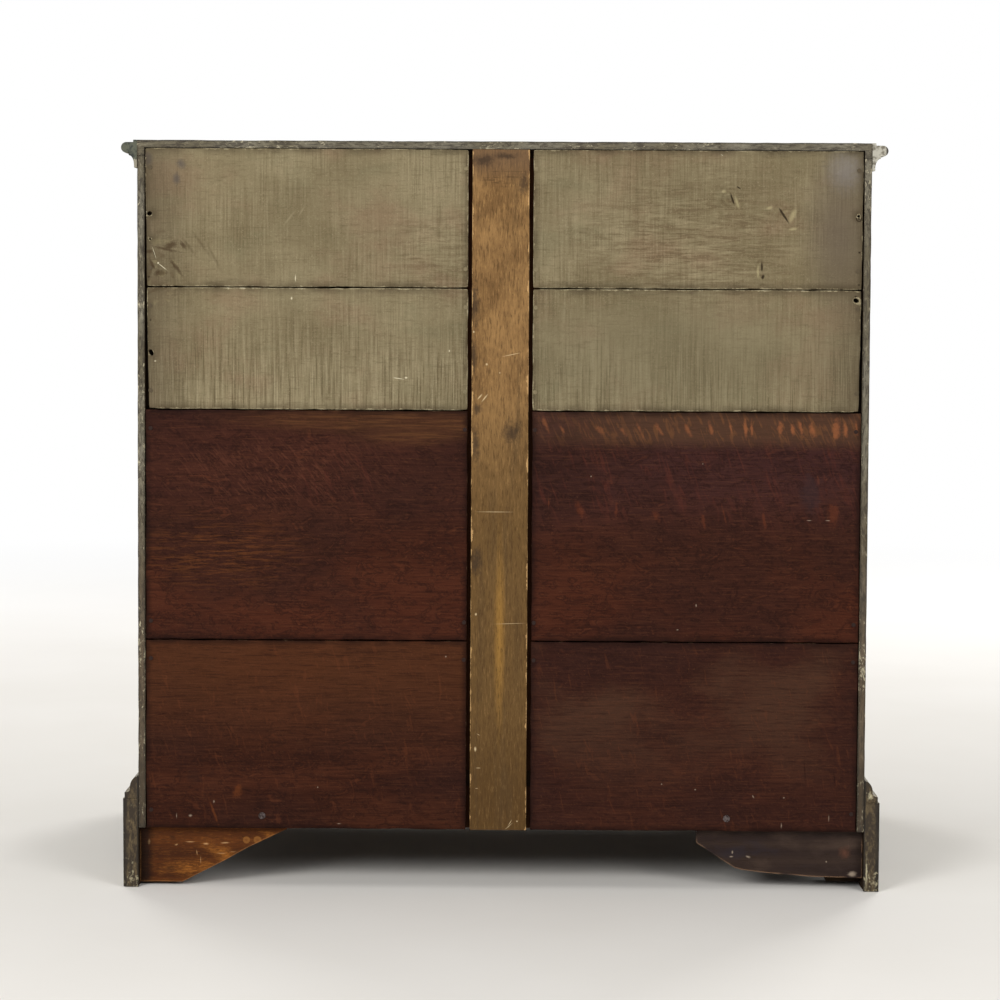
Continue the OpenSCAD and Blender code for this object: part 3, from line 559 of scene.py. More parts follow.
def plinth_ends(finish):
    """The ends of the side plinths and of the base mouldings over them."""
    blotch = finish.noise((0.007, 0.007, 0.018), detail=6, rough=0.8, seed=50)
    rub = finish.noise((0.004, 0.004, 0.007), detail=4, rough=0.75, seed=53)
    out = abs(finish.x)
    end = finish.mix(blotch.step(0.36, 0.56), srgb(98, 83, 58), srgb(50, 40, 28))
    inner = 1 - out.step(OUTER_X + 0.001, OUTER_X + 0.003)
    rim = out.step(PLINTH_X - 0.007, PLINTH_X - 0.003).larger(inner)
    end = finish.mix(rim * blotch.step(0.2, 0.4) * 0.85, end, srgb(28, 23, 18))
    foot = 1 - finish.z.step(0.006, 0.05)
    end = finish.mix((rub + foot * 0.14).step(0.66, 0.74) * 0.75, end, srgb(170, 160, 130))
    knocks = [(-0.483, 0.126, 0.009, 0.013), (-0.479, 0.026, 0.003, 0.05)]
    knock = finish.spots(knocks, soft=1.0, ragged=rub * 3 - 1.5)
    end = finish.mix(knock * 0.75, end, srgb(200, 190, 156))
    finish.coat(on_rear(finish) * (1 - finish.z.step(0.17, 0.175)), end)


print("Plinths reach", round(PLINTH_X, 4), "and the sides", round(OUTER_X, 4))

# %% [markdown]
# Three painted finishes follow, one for each direction of the grain. The edges are marked twice: by the
# Bevel node, and by an attribute, arris, that each piece with this paint gets later. Only the finish for
# the X axis has the wear round the handles, because all five drawer fronts use that one.

# %% Painted finishes
FRONT_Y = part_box("right_side")[0][1]
DRAWERS = ["top_left", "top_right", "upper", "middle", "lower"]
BAILS = [body for body in frame["bodies"] if body.endswith("_bail")]
GRIP = (0.17, 0.11)


def round_handles(finish):
    """1 where hands reach, on the drawer fronts round each bail."""
    grips = []
    for bail in BAILS:
        low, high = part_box(bail)
        grips.append(((low[0] + high[0]) / 2, (low[2] + high[2]) / 2, *GRIP))
    return finish.spots(grips, soft=1.0) * (1 - finish.y.step(FRONT_Y - 0.002, FRONT_Y))


paint = {}
for axis in "xyz":
    skin = Finish("old_paint_" + axis, Specular_IOR_Level=0.3)
    handled = round_handles(skin) if axis == "x" else None
    border = skin.arris(0.006).larger(skin.attribute("arris"))
    worn, height = old_paint(skin, axis, border, handled)
    rear_edges(skin, axis, border)
    if axis == "y":
        moulding_ends(skin)
        plinth_ends(skin)
    skin.close(0.66 + worn.step(0.76, 0.84) * 0.2, height, 0.0005)
    paint[axis] = skin
    print(skin)

# %% [markdown]
# ## Boards of the back
# The upper four boards are painted, and the saw marks still show through the paint as fine upright
# lines, under a weave of level ones. Noise that is stretched one way gives both. Brown clouds lie over
# them, one bay is rippled near the top, and the paint is dirtier towards the sides.

# %% Paint of the upper boards
upper = Finish("board_paint", Specular_IOR_Level=DRY)
cloud = upper.noise((0.16, 0.1, 0.1), detail=5, rough=0.6)
blush = upper.noise((0.1, 0.1, 0.055), detail=5, rough=0.6, seed=7)
saw = upper.noise((0.0017, 0.1, 0.06), detail=2, rough=0.6, seed=3)
weave = upper.noise((0.022, 0.1, 0.0021), detail=2, rough=0.7, seed=5)
ripple = upper.noise((0.03, 0.1, 0.003), detail=2, warp=0.9, seed=11)
grit = upper.noise((0.002, 0.1, 0.002), detail=3, rough=0.8, seed=23)
where_saw = upper.noise((0.09, 0.1, 0.1), detail=3, seed=17).step(0.35, 0.6)
low_boards = 1 - upper.z.step(0.66, 0.75)
sawn = 0.14 + where_saw * 0.24 + low_boards * 0.34
rippled = upper.spot(-0.24, 0.85, 0.44, 0.26, soft=0.8)
rippled = rippled + upper.spot(0.08, 0.83, 0.2, 0.2, soft=0.8) * 0.7
upper.base(cloud.step(0.32, 0.68), srgb(116, 104, 78), srgb(136, 124, 96))
upper.coat(blush.step(0.46, 0.7) * 0.6, srgb(131, 108, 85))
upper.coat(blush.step(0.42, 0.28) * 0.4, srgb(112, 106, 80))
upper.coat(saw.step(0.5, 0.66) * sawn, srgb(90, 78, 56))
upper.coat(saw.step(0.5, 0.3) * sawn * 0.7, srgb(164, 152, 122))
upper.coat(weave.step(0.52, 0.72) * 0.4, srgb(94, 82, 60))
upper.coat(ripple.step(0.48, 0.62) * rippled * 0.62, srgb(98, 82, 60))
upper.coat(ripple.step(0.44, 0.32) * rippled * 0.35, srgb(158, 144, 114))
upper.coat(grit.step(0.56, 0.7) * 0.5, srgb(160, 148, 118))
upper.coat(grit.step(0.44, 0.3) * 0.5, srgb(88, 76, 56))
relief = saw * sawn + weave * 0.2 + ripple * rippled * 0.5 + grit * 0.4
outer = abs(upper.x).step(0.38, 0.47)
upper.coat(outer * 0.6, srgb(86, 76, 60))
print(upper)

# %% [markdown]
# Grain bends round each knot in rings. A sine of the distance from the knot gives them, and noise bends
# and breaks them. The knots and all other marks are set one by one, each as x, z, width and height in
# metres and, where it leans, degrees, seen from behind with the top leaning to the left.

# %% Rings round the knots
KNOT_BROWN = srgb(76, 58, 38)
OLIVE_LIGHT = srgb(152, 140, 104)


def knot_rings(finish, x, z, width, height, turn, count):
    """Fine rings round a knot, from -1 to 1, which fade out at twice its size."""
    wobble = finish.noise((0.03, 0.1, 0.03), detail=4, seed=x * 40) * 0.9
    reach = finish.reach(x, z, width, height, turn) + wobble
    turns = reach * (count * 2 * math.pi)
    broken = finish.noise((0.016, 0.1, 0.012), detail=3, seed=z * 30).step(0.36, 0.6)
    return turns.math("SINE", turns) * broken * (1 - reach.step(0.9, 2.6))


for x, z, width, height, turn, count, depth in [
    (0.468, 0.806, 0.088, 0.096, 0, 1.9, 0.35), (-0.368, 0.882, 0.036, 0.03, 35, 1.9, 0.28),
    (-0.293, 0.905, 0.026, 0.024, 20, 1.7, 0.26), (-0.334, 0.811, 0.014, 0.026, 5, 1.4, 0.3),
]:
    rings = knot_rings(upper, x, z, width, height, turn, count)
    upper.coat(rings.step(0.15, 0.9) * depth, KNOT_BROWN)
    upper.coat(rings.step(-0.35, -0.95) * depth * 0.8, OLIVE_LIGHT)
    relief = relief + rings * 0.7
print(upper)

# %% [markdown]
# In one corner the paint is torn away beside a large knot, and bent lines run round it. Grey haze, a
# pale bloom and darker or paler fields lie over the boards. A noise called torn frays all their rims.

# %% Torn paint and haze
torn = upper.noise((0.004, 0.004, 0.004), detail=5, rough=0.7, seed=41) * 1.6 - 0.8
hatched = upper.spots(
    [
        (0.4325, 0.84, 0.026, 0.014, 20), (0.4155, 0.84, 0.008, 0.016, 35), (0.46, 0.832, 0.016, 0.008),
        (0.4455, 0.804, 0.022, 0.011), (0.425, 0.812, 0.007, 0.034, 38), (0.438, 0.835, 0.04, 0.005, -12),
        (0.456, 0.816, 0.005, 0.022, 28),
    ],
    soft=0.7, ragged=torn,
)
upper.coat(hatched * 0.7, srgb(62, 46, 30))
bows = [
    (0.408, 0.838, 0.006, 0.052, 38), (0.392, 0.842, 0.006, 0.062, 36), (0.376, 0.826, 0.006, 0.06, 28),
]
for place in bows:
    bow = upper.spot(*place, soft=1.0, ragged=torn * 0.3)
    upper.coat(bow * 0.4, srgb(78, 64, 44))
    relief = relief - bow * 0.6
haze = upper.spots(
    [(0.461, 0.951, 0.018, 0.03), (0.418, 0.945, 0.016, 0.02, 30), (0.424, 0.926, 0.014, 0.022)],
    soft=0.9, ragged=torn * 0.5,
)
upper.coat(haze * 0.7, srgb(82, 76, 72))
bloom = upper.spot(-0.44, 0.94, 0.07, 0.08, soft=1.0, ragged=torn * 0.5)
upper.coat(bloom * 0.4, srgb(146, 143, 144))
upper.coat(upper.spot(-0.43, 0.86, 0.12, 0.26, soft=1.0) * 0.6, srgb(98, 86, 74))
upper.coat(upper.spot(-0.23, 0.695, 0.62, 0.22, soft=0.7) * 0.4, srgb(108, 100, 77))
scuff = upper.spots([(0.2775, 0.8765, 0.004, 0.036, -38), (0.262, 0.885, 0.004, 0.022, -30)], soft=1.0)
upper.coat(scuff * 0.35, srgb(164, 152, 122))
print(upper)

# %% [markdown]
# Each small knot has dried and split: a dark slit, with a lit rim of paint beside it. Cream scratches
# and the dark pits of old nails are scattered over the boards, and one nail left a ring.

# %% Slits and lit rims
slits = upper.spots(
    [
        (-0.295, 0.903, 0.003, 0.02, 18), (-0.303, 0.918, 0.002, 0.008, 60),
        (-0.362, 0.882, 0.0036, 0.032, 34), (-0.334, 0.816, 0.0034, 0.016, 2),
        (-0.3355, 0.803, 0.005, 0.008, -20), (0.453, 0.829, 0.0014, 0.012, 20),
    ],
    soft=0.6, ragged=torn * 0.4,
)
upper.coat(slits * 0.9, srgb(46, 36, 25))
lit = upper.spots(
    [
        (-0.301, 0.899, 0.006, 0.024, 18), (-0.373, 0.882, 0.01, 0.03, -24),
        (-0.329, 0.809, 0.005, 0.026, 2), (-0.374, 0.865, 0.018, 0.006, 10),
        (-0.343, 0.892, 0.012, 0.006, 20), (-0.284, 0.913, 0.01, 0.006),
    ],
    soft=0.9, ragged=torn * 0.4,
)
upper.coat(lit * 0.65, srgb(168, 156, 118))
print(upper)

# %% [markdown]
# Scratches are ellipses that are very long and thin. The pits are nearly round, and a ring is what lies
# between two distances from one place.

# %% Scratches and pits
cream_scratches = upper.spots(
    [
        (0.453, 0.83, 0.0012, 0.018, 18), (0.442, 0.812, 0.0014, 0.018, 52), (0.448, 0.817, 0.003, 0.003),
        (0.275, 0.772, 0.003, 0.005), (0.136, 0.669, 0.018, 0.0016, -8), (0.126, 0.67, 0.005, 0.003),
        (-0.281, 0.96, 0.0014, 0.006, 50), (0.4635, 0.8805, 0.005, 0.007), (0.27, 0.798, 0.002, 0.012),
        (0.07, 0.705, 0.0022, 0.004), (0.452, 0.69, 0.0035, 0.002), (-0.449, 0.624, 0.02, 0.003),
    ],
    soft=0.7, ragged=torn * 0.5,
)
upper.coat(cream_scratches * 0.9, srgb(212, 202, 172))
pits = upper.spots(
    [
        (0.4605, 0.848, 0.004, 0.004), (0.46, 0.799, 0.004, 0.004), (-0.46, 0.835, 0.004, 0.004),
        (-0.46, 0.793, 0.004, 0.004), (0.458, 0.743, 0.003, 0.004), (-0.456, 0.778, 0.005, 0.003),
    ],
    soft=0.8, ragged=torn * 0.4,
)
ring = upper.reach(-0.4588, 0.8785, 0.0075, 0.0075)
pits = pits.larger(ring.step(0.55, 0.8) * (1 - ring.step(0.95, 1.2))).larger(1 - ring.step(0.25, 0.4))
chip = upper.spot(0.4655, 0.8805, 0.011, 0.01, soft=0.4, ragged=torn * 0.3)
upper.coat(chip, srgb(206, 198, 172))
upper.coat(pits * 0.9, srgb(40, 32, 24))
relief = relief - slits - pits * 0.8 + cream_scratches * 0.3
print(upper)

# %% [markdown]
# Paint wears along the edges of a board, and dirt gathers beside them. Each board gets an attribute,
# edge, which holds the distance to its nearest edge or nail hole. Noise less that distance leaves a
# ragged cream rim.

# %% Worn edges of the upper boards
edge = upper.attribute("edge")
ragged = upper.noise((0.01, 0.01, 0.01), detail=6, rough=0.75, seed=29)
rim = ragged - edge * 95
dirt = upper.noise((0.03, 0.03, 0.03), detail=5, seed=31).step(0.2, 0.7) * (1 - edge.step(0, 0.012))
upper.coat(dirt * 0.75, srgb(72, 62, 46))
upper.coat(rim.step(0.4, 0.45) * 0.8, srgb(158, 146, 116))
upper.coat(rim.step(0.54, 0.59) * 0.9, CREAM)
upper.close(0.85 - grit * 0.15, relief, 0.0009)
print(upper)

# %% [markdown]
# The lower four boards are quartered oak, stained dark red brown. The stain is purple in one place and
# warmer in another, with wide bands, fine lines and a figure of dark curls over it.

# %% Stain of the lower boards
LOWER_SEAM = 0.327
lower = Finish("stained_oak", Specular_IOR_Level=0.03)
right_of_middle = 1 - lower.x.step(-0.02, 0.02)
high_row = lower.z.step(LOWER_SEAM - 0.002, LOWER_SEAM)
grain = lower.noise((0.055, 0.1, 0.0025), detail=3, rough=0.7, warp=0.3, seed=1)
lines = lower.noise((0.03, 0.1, 0.0018), detail=2, rough=0.7, warp=0.5, seed=2)
bands = lower.noise((0.35, 0.1, 0.04), detail=5, rough=0.6, warp=0.5, seed=4)
clouds = lower.noise((0.16, 0.1, 0.11), detail=5, seed=6)
speck = lower.noise((0.003, 0.1, 0.0024), detail=3, rough=0.8, seed=8)
lower.base(bands.step(0.35, 0.65), srgb(52, 27, 19), srgb(67, 36, 24))
purple = high_row * lower.z.step(0.43, 0.54) * (0.35 + right_of_middle * 0.65)
lower.coat(purple * 0.8, srgb(58, 35, 34))
lower.coat(high_row * (1 - lower.z.step(0.38, 0.5)) * 0.45, srgb(78, 39, 26))
lower.coat(clouds.step(0.42, 0.66) * 0.7, srgb(48, 28, 23))
figure = lower.noise((0.026, 0.1, 0.014), detail=4, rough=0.65, warp=1.2, seed=12)
lower.coat(figure.step(0.5, 0.56) * (1 - figure.step(0.57, 0.63)) * 0.5, srgb(30, 17, 15))
lower.coat(figure.step(0.62, 0.7) * 0.3, srgb(92, 50, 32))
low_right = (1 - high_row) * right_of_middle
lower.coat(low_right * 0.35, srgb(54, 32, 28))
lower.coat(low_right * clouds.step(0.54, 0.36) * lower.z.step(0.1, 0.24) * 0.6, srgb(74, 51, 38))
warm = (1 - high_row) * (1 - right_of_middle) * lower.z.step(0.15, 0.3)
lower.coat(warm * 0.6, srgb(84, 49, 28))
lower.coat(grain.step(0.5, 0.7) * 0.4, srgb(34, 18, 14))
lower.coat(grain.step(0.47, 0.3) * 0.16, srgb(90, 50, 32))
lower.coat(lines.step(0.52, 0.7) * 0.5, srgb(38, 21, 16))
lower.coat(lines.step(0.45, 0.3) * 0.2, srgb(96, 58, 38))
lower.coat(speck.step(0.58, 0.72) * 0.3, srgb(104, 66, 44))
print(lower)

# %% [markdown]
# Ray flecks cross the grain of quartered oak as thin curved dashes, faint on the left and bright gold in
# one band at the top on the right, where the stain has worn off. Stretched noise that leans gives the
# faint ones, and the bright ones are placed one by one.

# %% Ray flecks
fine_rays = lower.noise((0.0024, 0.1, 0.013), warp=0.9, seed=3, turn=42).step(0.5, 0.66)
left_rays = lower.spot(0.3, 0.548, 0.46, 0.15, soft=0.8)
lower.coat(fine_rays * (0.05 + left_rays * 0.32), srgb(96, 57, 42))
long_rays = lower.noise((0.0075, 0.1, 0.05), warp=1.2, seed=9, turn=20).step(0.52, 0.72)
red_rays = lower.spot(0.2, 0.54, 0.2, 0.12, soft=0.9)
right_rays = right_of_middle * lower.z.step(0.44, 0.53) * high_row
lower.coat(long_rays * (red_rays * 0.4 + right_rays * 0.36), srgb(90, 46, 36))
low_rays = lower.noise((0.006, 0.1, 0.03), warp=0.9, seed=14, turn=14).step(0.6, 0.72)
lower.coat(low_rays * (1 - high_row) * 0.16, srgb(112, 62, 38))

gold_streaks = lower.noise((0.03, 0.1, 0.0026), detail=3, rough=0.7, seed=16).step(0.46, 0.66)
gold_left = lower.spot(0.37, 0.44, 0.32, 0.14, soft=0.9)
lower.coat(gold_streaks * gold_left * 0.42, srgb(116, 68, 34))
brown_strip = lower.spots([(0.17, 0.616, 0.5, 0.05), (0.1, 0.606, 0.26, 0.062, 4)], soft=0.7)
lower.coat(brown_strip * (0.3 + grain.step(0.55, 0.35) * 0.45), srgb(92, 60, 36))
print(lower)

# %% [markdown]
# The stain is thin in a band along the top edge on the right, and the flecks there shine. They are
# listed from the middle of the chest outwards, and bend a little, because noise moves their rims.

# %% Bright band
worn_band = lower.z.step(0.574, 0.598) * right_of_middle * lower.x.step(0.0, -0.3).step(-0.5, 0.9)
lower.coat(worn_band * 0.75, srgb(80, 57, 42))
lower.coat(worn_band * lines.step(0.5, 0.7) * 0.4, srgb(60, 40, 30))
ripples = lower.noise((0.007, 0.1, 0.03), detail=2, warp=1.5, seed=19, turn=22).step(0.5, 0.64)
lower.coat(worn_band * ripples * 0.38, srgb(116, 76, 46))
bent = lower.noise((0.009, 0.1, 0.009), detail=4, rough=0.7, seed=44) * 2.2 - 1.1
BRIGHT_FLECKS = [
    (-0.056, 0.604, 0.005, 0.024, 22), (-0.077, 0.6, 0.004, 0.02, 30), (-0.125, 0.6, 0.009, 0.018, 35),
    (-0.156, 0.598, 0.005, 0.014, 40), (-0.177, 0.601, 0.0045, 0.022, 24),
    (-0.203, 0.6, 0.0055, 0.026, 34), (-0.24, 0.601, 0.006, 0.022, 30), (-0.27, 0.601, 0.0055, 0.022, 14),
    (-0.296, 0.602, 0.0035, 0.022, 10), (-0.315, 0.602, 0.0045, 0.024, 4),
    (-0.323, 0.602, 0.004, 0.024, 2), (-0.36, 0.602, 0.009, 0.024, 4), (-0.376, 0.602, 0.006, 0.022, 10),
    (-0.387, 0.603, 0.005, 0.02, 12), (-0.402, 0.601, 0.009, 0.024, 14), (-0.432, 0.602, 0.011, 0.026, 2),
    (-0.445, 0.601, 0.007, 0.022, 2), (-0.459, 0.603, 0.005, 0.018, 10),
]
flecks = lower.spots(
    [(x, z + 0.004, width * 1.3, height * 1.15, turn) for x, z, width, height, turn in BRIGHT_FLECKS],
    soft=1.0, ragged=bent,
)
toward_end = 0.4 + (1 - lower.x.step(-0.46, -0.1)) * 0.4
lower.coat(flecks * toward_end, srgb(142, 86, 54))
print(len(BRIGHT_FLECKS), "bright flecks;", lower)

# %% [markdown]
# Below the band the same flecks are dim. A grey smudge, two dark stains and two reddish streaks, where
# water ran, come next.

# %% Dim flecks and stains
dim_flecks = lower.spots(
    [
        (-0.34, 0.488, 0.006, 0.03, 10), (-0.288, 0.495, 0.004, 0.036, 14),
        (-0.262, 0.484, 0.006, 0.022, 10), (-0.06, 0.508, 0.003, 0.022), (-0.1, 0.5, 0.012, 0.026, 20),
        (-0.148, 0.5, 0.006, 0.03), (-0.2, 0.492, 0.012, 0.024, 24), (-0.43, 0.494, 0.022, 0.04),
        (-0.41, 0.54, 0.004, 0.02, 12),
    ],
    soft=0.9, ragged=bent,
)
lower.coat(dim_flecks * 0.4, srgb(104, 54, 34))
smudge = lower.spots([(-0.4, 0.52, 0.036, 0.07)], soft=0.7, ragged=bent * 0.6)
lower.coat(smudge * 0.5, srgb(54, 40, 41))
stain = lower.spots([(0.402, 0.146, 0.03, 0.024), (-0.02, 0.48, 0.006, 0.006)], soft=0.8, ragged=bent)
lower.coat(stain * 0.4, srgb(48, 30, 24))
streaks = [(0.377, 0.101, 0.004, 0.05, 20), (0.345, 0.128, 0.016, 0.022)]
streak = lower.spots(streaks, soft=0.9, ragged=bent)
lower.coat(streak * 0.4, srgb(118, 64, 32))
print(lower)

# %% [markdown]
# The smallest marks are dark splits along the grain and chalky specks, where something has scraped the
# stain. Dirt fills the seams between the boards, and their edges are rubbed.

# %% Splits and chalky marks
chalk = lower.noise((0.003, 0.003, 0.003), detail=4, rough=0.7, seed=46) * 1.2 - 0.6
splits = lower.spots(
    [
        (-0.397, 0.156, 0.002, 0.052, 4), (-0.436, 0.147, 0.0022, 0.048, 8),
        (0.398, 0.22, 0.0012, 0.012, 40), (0.446, 0.228, 0.034, 0.0016, 14),
        (0.356, 0.21, 0.002, 0.03, 30), (-0.274, 0.15, 0.0014, 0.03, 10),
    ],
    soft=1.0, ragged=bent * 0.5,
)
lower.coat(splits * 0.6, srgb(26, 14, 11))
pale_marks = lower.spots(
    [
        (-0.253, 0.3755, 0.0026, 0.006), (-0.229, 0.343, 0.004, 0.002), (-0.115, 0.543, 0.0024, 0.0024),
        (0.425, 0.094, 0.0016, 0.009), (0.407, 0.0945, 0.007, 0.005), (0.376, 0.113, 0.003, 0.005),
        (0.073, 0.306, 0.003, 0.003), (-0.367, 0.086, 0.0024, 0.01), (-0.33, 0.124, 0.0022, 0.006, 30),
        (-0.37, 0.123, 0.004, 0.003), (-0.254, 0.133, 0.003, 0.003), (-0.21, 0.14, 0.0024, 0.0024),
        (0.212, 0.085, 0.008, 0.0018), (-0.429, 0.096, 0.0014, 0.012), (-0.423, 0.487, 0.008, 0.0016),
        (-0.399, 0.487, 0.008, 0.0016), (0.24, 0.133, 0.0022, 0.003), (-0.26, 0.56, 0.002, 0.002),
    ],
    soft=0.9, ragged=chalk,
)
lower.coat(pale_marks * 0.6, srgb(168, 148, 128))
print(lower)

# %% [markdown]
# As on the upper boards, the attribute edge says how near the edge is. The rubbed strip is narrower
# here, and brown instead of cream, because there is no paint under the stain.

# %% Edges of the lower boards
edge = lower.attribute("edge")
seam_dirt = lower.noise((0.03, 0.03, 0.03), detail=4, seed=31).step(0.2, 0.6) * (1 - edge.step(0.0, 0.01))
lower.coat(seam_dirt * 0.7, srgb(24, 14, 12))
rub = lower.noise((0.02, 0.02, 0.006), detail=6, rough=0.7, seed=33) - edge * 220
lower.coat(rub.step(0.5, 0.56) * 0.5, srgb(120, 96, 74))
lower.close(0.62 + grain * 0.2, lines * 0.5 - grain * 0.6 + speck * 0.2, 0.0004)
print(lower)

# %% [markdown]
# ## Upright and brackets
# The upright between the boards was left in golden wood, greyer at the top, and short dark pores give
# it a hairy look. It is brown near the floor, with a gold streak up its middle.

# %% Wood of the upright
upright = Finish("golden_wood", Specular_IOR_Level=DRY)
hair = upright.noise((0.0019, 0.1, 0.013), detail=3, rough=0.75, warp=0.3, seed=2)
bands = upright.noise((0.012, 0.1, 0.16), detail=4, rough=0.6, warp=0.5, seed=5)
clouds = upright.noise((0.05, 0.1, 0.06), detail=5, rough=0.65, seed=8)
cross = upright.noise((0.03, 0.1, 0.002), detail=3, rough=0.7, seed=11)
upright.base(clouds.step(0.35, 0.65), srgb(116, 87, 54), srgb(146, 112, 71))
low = 1 - upright.z.step(0.46, 0.72)
upright.coat(low * 0.9, srgb(98, 74, 43))
foot = 1 - upright.z.step(0.12, 0.26)
upright.coat(foot * 0.75, srgb(84, 61, 34))
upright.coat(bands.step(0.5, 0.72) * 0.45, srgb(84, 66, 44))
gold = upright.spot(0.003, 0.335, 0.02, 0.34, soft=1.0)
upright.coat(gold * 0.85, srgb(152, 113, 56))
beside = upright.spots([(0.027, 0.33, 0.02, 0.26), (-0.02, 0.33, 0.018, 0.24)], soft=1.0)
upright.coat(beside * 0.45, srgb(84, 64, 40))
upright.coat(hair.step(0.5, 0.66) * 0.6, srgb(74, 54, 33))
upright.coat(hair.step(0.46, 0.3) * (0.5 - low * 0.3), srgb(172, 134, 86))
print(upright)

# %% [markdown]
# Dirt, knocks and pale scratches lie on the upright. Its two long edges are rubbed, and their pale strip
# is partly a painted highlight where they catch the light. Its flanges lie deep in the gaps beside the
# boards, and are painted nearly black as shade.

# %% Dirt and scratches of the upright
worn = upright.noise((0.006, 0.1, 0.006), detail=5, rough=0.7, seed=15) * 1.6 - 0.8
top_dirt = upright.z.step(0.915, 0.955) * 0.65
upright.coat(top_dirt, srgb(94, 74, 58))
dark_patches = upright.spots(
    [
        (0.026, 0.952, 0.044, 0.02, 10), (-0.025, 0.922, 0.02, 0.04), (0.000, 0.957, 0.05, 0.012),
        (0.038, 0.766, 0.02, 0.086), (0.034, 0.63, 0.018, 0.024), (0.036, 0.585, 0.016, 0.07),
        (0.034, 0.432, 0.024, 0.05), (-0.012, 0.6, 0.036, 0.044), (0.038, 0.7, 0.01, 0.06),
    ],
    soft=0.9, ragged=worn,
)
upright.coat(dark_patches * 0.72, srgb(54, 44, 36))
scored = cross.step(0.56, 0.66) * upright.spot(0.0, 0.93, 0.08, 0.04, soft=0.8)
upright.coat(scored * 0.7, srgb(58, 42, 30))
pale_scratches = upright.spots(
    [
        (0.0385, 0.73, 0.003, 0.004), (0.0215, 0.688, 0.004, 0.004), (0.0045, 0.677, 0.003, 0.003),
        (-0.01, 0.7005, 0.034, 0.0012, 12), (0.03, 0.646, 0.0026, 0.012, -40),
        (0.024, 0.644, 0.0026, 0.016, -38), (0.034, 0.362, 0.004, 0.005), (-0.01, 0.083, 0.02, 0.001, 42),
        (-0.021, 0.09, 0.0026, 0.0026), (0.034, 0.185, 0.004, 0.008), (0.03, 0.16, 0.008, 0.001),
        (0.032, 0.133, 0.005, 0.001), (0.03, 0.204, 0.006, 0.001, -30), (-0.01, 0.35, 0.05, 0.0008, 2),
        (0.01, 0.496, 0.06, 0.001), (-0.012, 0.088, 0.0014, 0.012, -30),
    ],
    soft=0.8, ragged=worn * 0.4,
)
upright.coat(pale_scratches * 0.75, srgb(214, 190, 148))
print(upright)

# %% [markdown]
# The distance from the middle of the upright gives its long edges, and the depth behind its face gives
# its flanges.

# %% Sides of the upright
low_corner, high_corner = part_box("back_muntin")
UPRIGHT_FACE = high_corner[1]
UPRIGHT_X = (low_corner[0] + high_corner[0]) / 2
HALF_UPRIGHT = 0.037
from_edge = HALF_UPRIGHT - abs(upright.x - UPRIGHT_X)
# Rubbed edges and painted highlight: a pale strip along both long edges.
edge_wear_and_highlight = upright.noise((0.02, 0.02, 0.03), detail=6, rough=0.7, seed=18) - from_edge * 60
edge_wear_and_highlight = edge_wear_and_highlight.step(0.44, 0.5)
upright.coat(edge_wear_and_highlight * 0.8, srgb(200, 160, 108))
# Painted shade: the flanges, deep in the gaps beside the boards, are darkened almost to black.
deep = 1 - upright.y.step(UPRIGHT_FACE - 0.0125, UPRIGHT_FACE - 0.0085)
upright.coat(deep * 0.95, srgb(40, 12, 8))
upright.close(0.68 + hair * 0.15, clouds * 0.3 - hair * 0.7, 0.0005)
print(upright)

# %% [markdown]
# The two rear brackets are offcuts of different woods. One is red brown, rubbed gold along its lower
# edge, with two round marks, and painted shade darkens it towards its outer end. The other is grey
# brown. Both use the function for oak with colours of their own, and get their marks on top.

# %% Red bracket
BRACKET_END = 0.466
red_bracket = Finish("red_bracket_wood", Specular_IOR_Level=0.06)
height = bare_oak(red_bracket, "x", srgb(104, 58, 26), srgb(64, 34, 18), seed=40)
scuff = red_bracket.noise((0.01, 0.1, 0.004), detail=6, rough=0.7, seed=44) * 1.6 - 0.8
rubbed = red_bracket.spots(
    [(0.405, 0.022, 0.12, 0.03), (0.36, 0.038, 0.11, 0.03, -27), (0.3, 0.064, 0.06, 0.014, -27)],
    soft=1.0, ragged=scuff * 0.7,
)
scratches = red_bracket.noise((0.01, 0.1, 0.0016), detail=4, rough=0.8, seed=47)
red_bracket.coat(scratches.step(0.5, 0.66) * 0.35, srgb(136, 84, 36))
red_bracket.coat(rubbed * (0.2 + scratches.step(0.42, 0.6) * 0.6), srgb(160, 100, 42))
rings = [(0.3347, 0.06, 0.0105, 0.0105), (0.3202, 0.06, 0.0115, 0.0115)]
red_bracket.coat(red_bracket.spots(rings, soft=0.25) * 0.6, srgb(146, 98, 48))
hubs = [(0.3347, 0.06, 0.005, 0.005), (0.3202, 0.06, 0.006, 0.006)]
red_bracket.coat(red_bracket.spots(hubs, soft=0.6) * 0.6, srgb(112, 66, 34))
flecks = red_bracket.spots(
    [
        (0.408, 0.057, 0.016, 0.002), (0.388, 0.0545, 0.009, 0.003), (0.427, 0.053, 0.006, 0.003, 20),
        (0.4, 0.043, 0.002, 0.01, 10), (0.362, 0.056, 0.014, 0.003), (0.368, 0.042, 0.014, 0.001),
        (0.352, 0.044, 0.014, 0.001), (0.463, 0.057, 0.004, 0.01), (0.395, 0.033, 0.001, 0.014),
    ],
    soft=0.9, ragged=scuff,
)
red_bracket.coat(flecks * 0.7, srgb(196, 154, 106))
stains = [(0.432, 0.062, 0.012, 0.01), (0.434, 0.022, 0.016, 0.012)]
stains = red_bracket.spots(stains, soft=0.8, ragged=scuff * 0.5)
red_bracket.coat(stains * 0.5, srgb(44, 26, 18))
# Painted shade: the bracket darkens almost to black towards its end at the plinth.
shade = 1 - (BRACKET_END - red_bracket.x).step(0.0, 0.012)
red_bracket.coat(shade * 0.8, SHADE_BLACK)
rim = red_bracket.arris(0.003) * (1 - red_bracket.z.step(0.066, 0.074))
red_bracket.coat(rim * 0.75, srgb(186, 132, 80))
red_bracket.close(0.55 + height * 0.1, height, 0.0003)
print(red_bracket)

# %% [markdown]
# The grey bracket has cooler patches, a reddish blush at one end, and a few pale knocks. Its lower edge
# is rubbed only where the patches are pale, so that the line breaks off here and there.

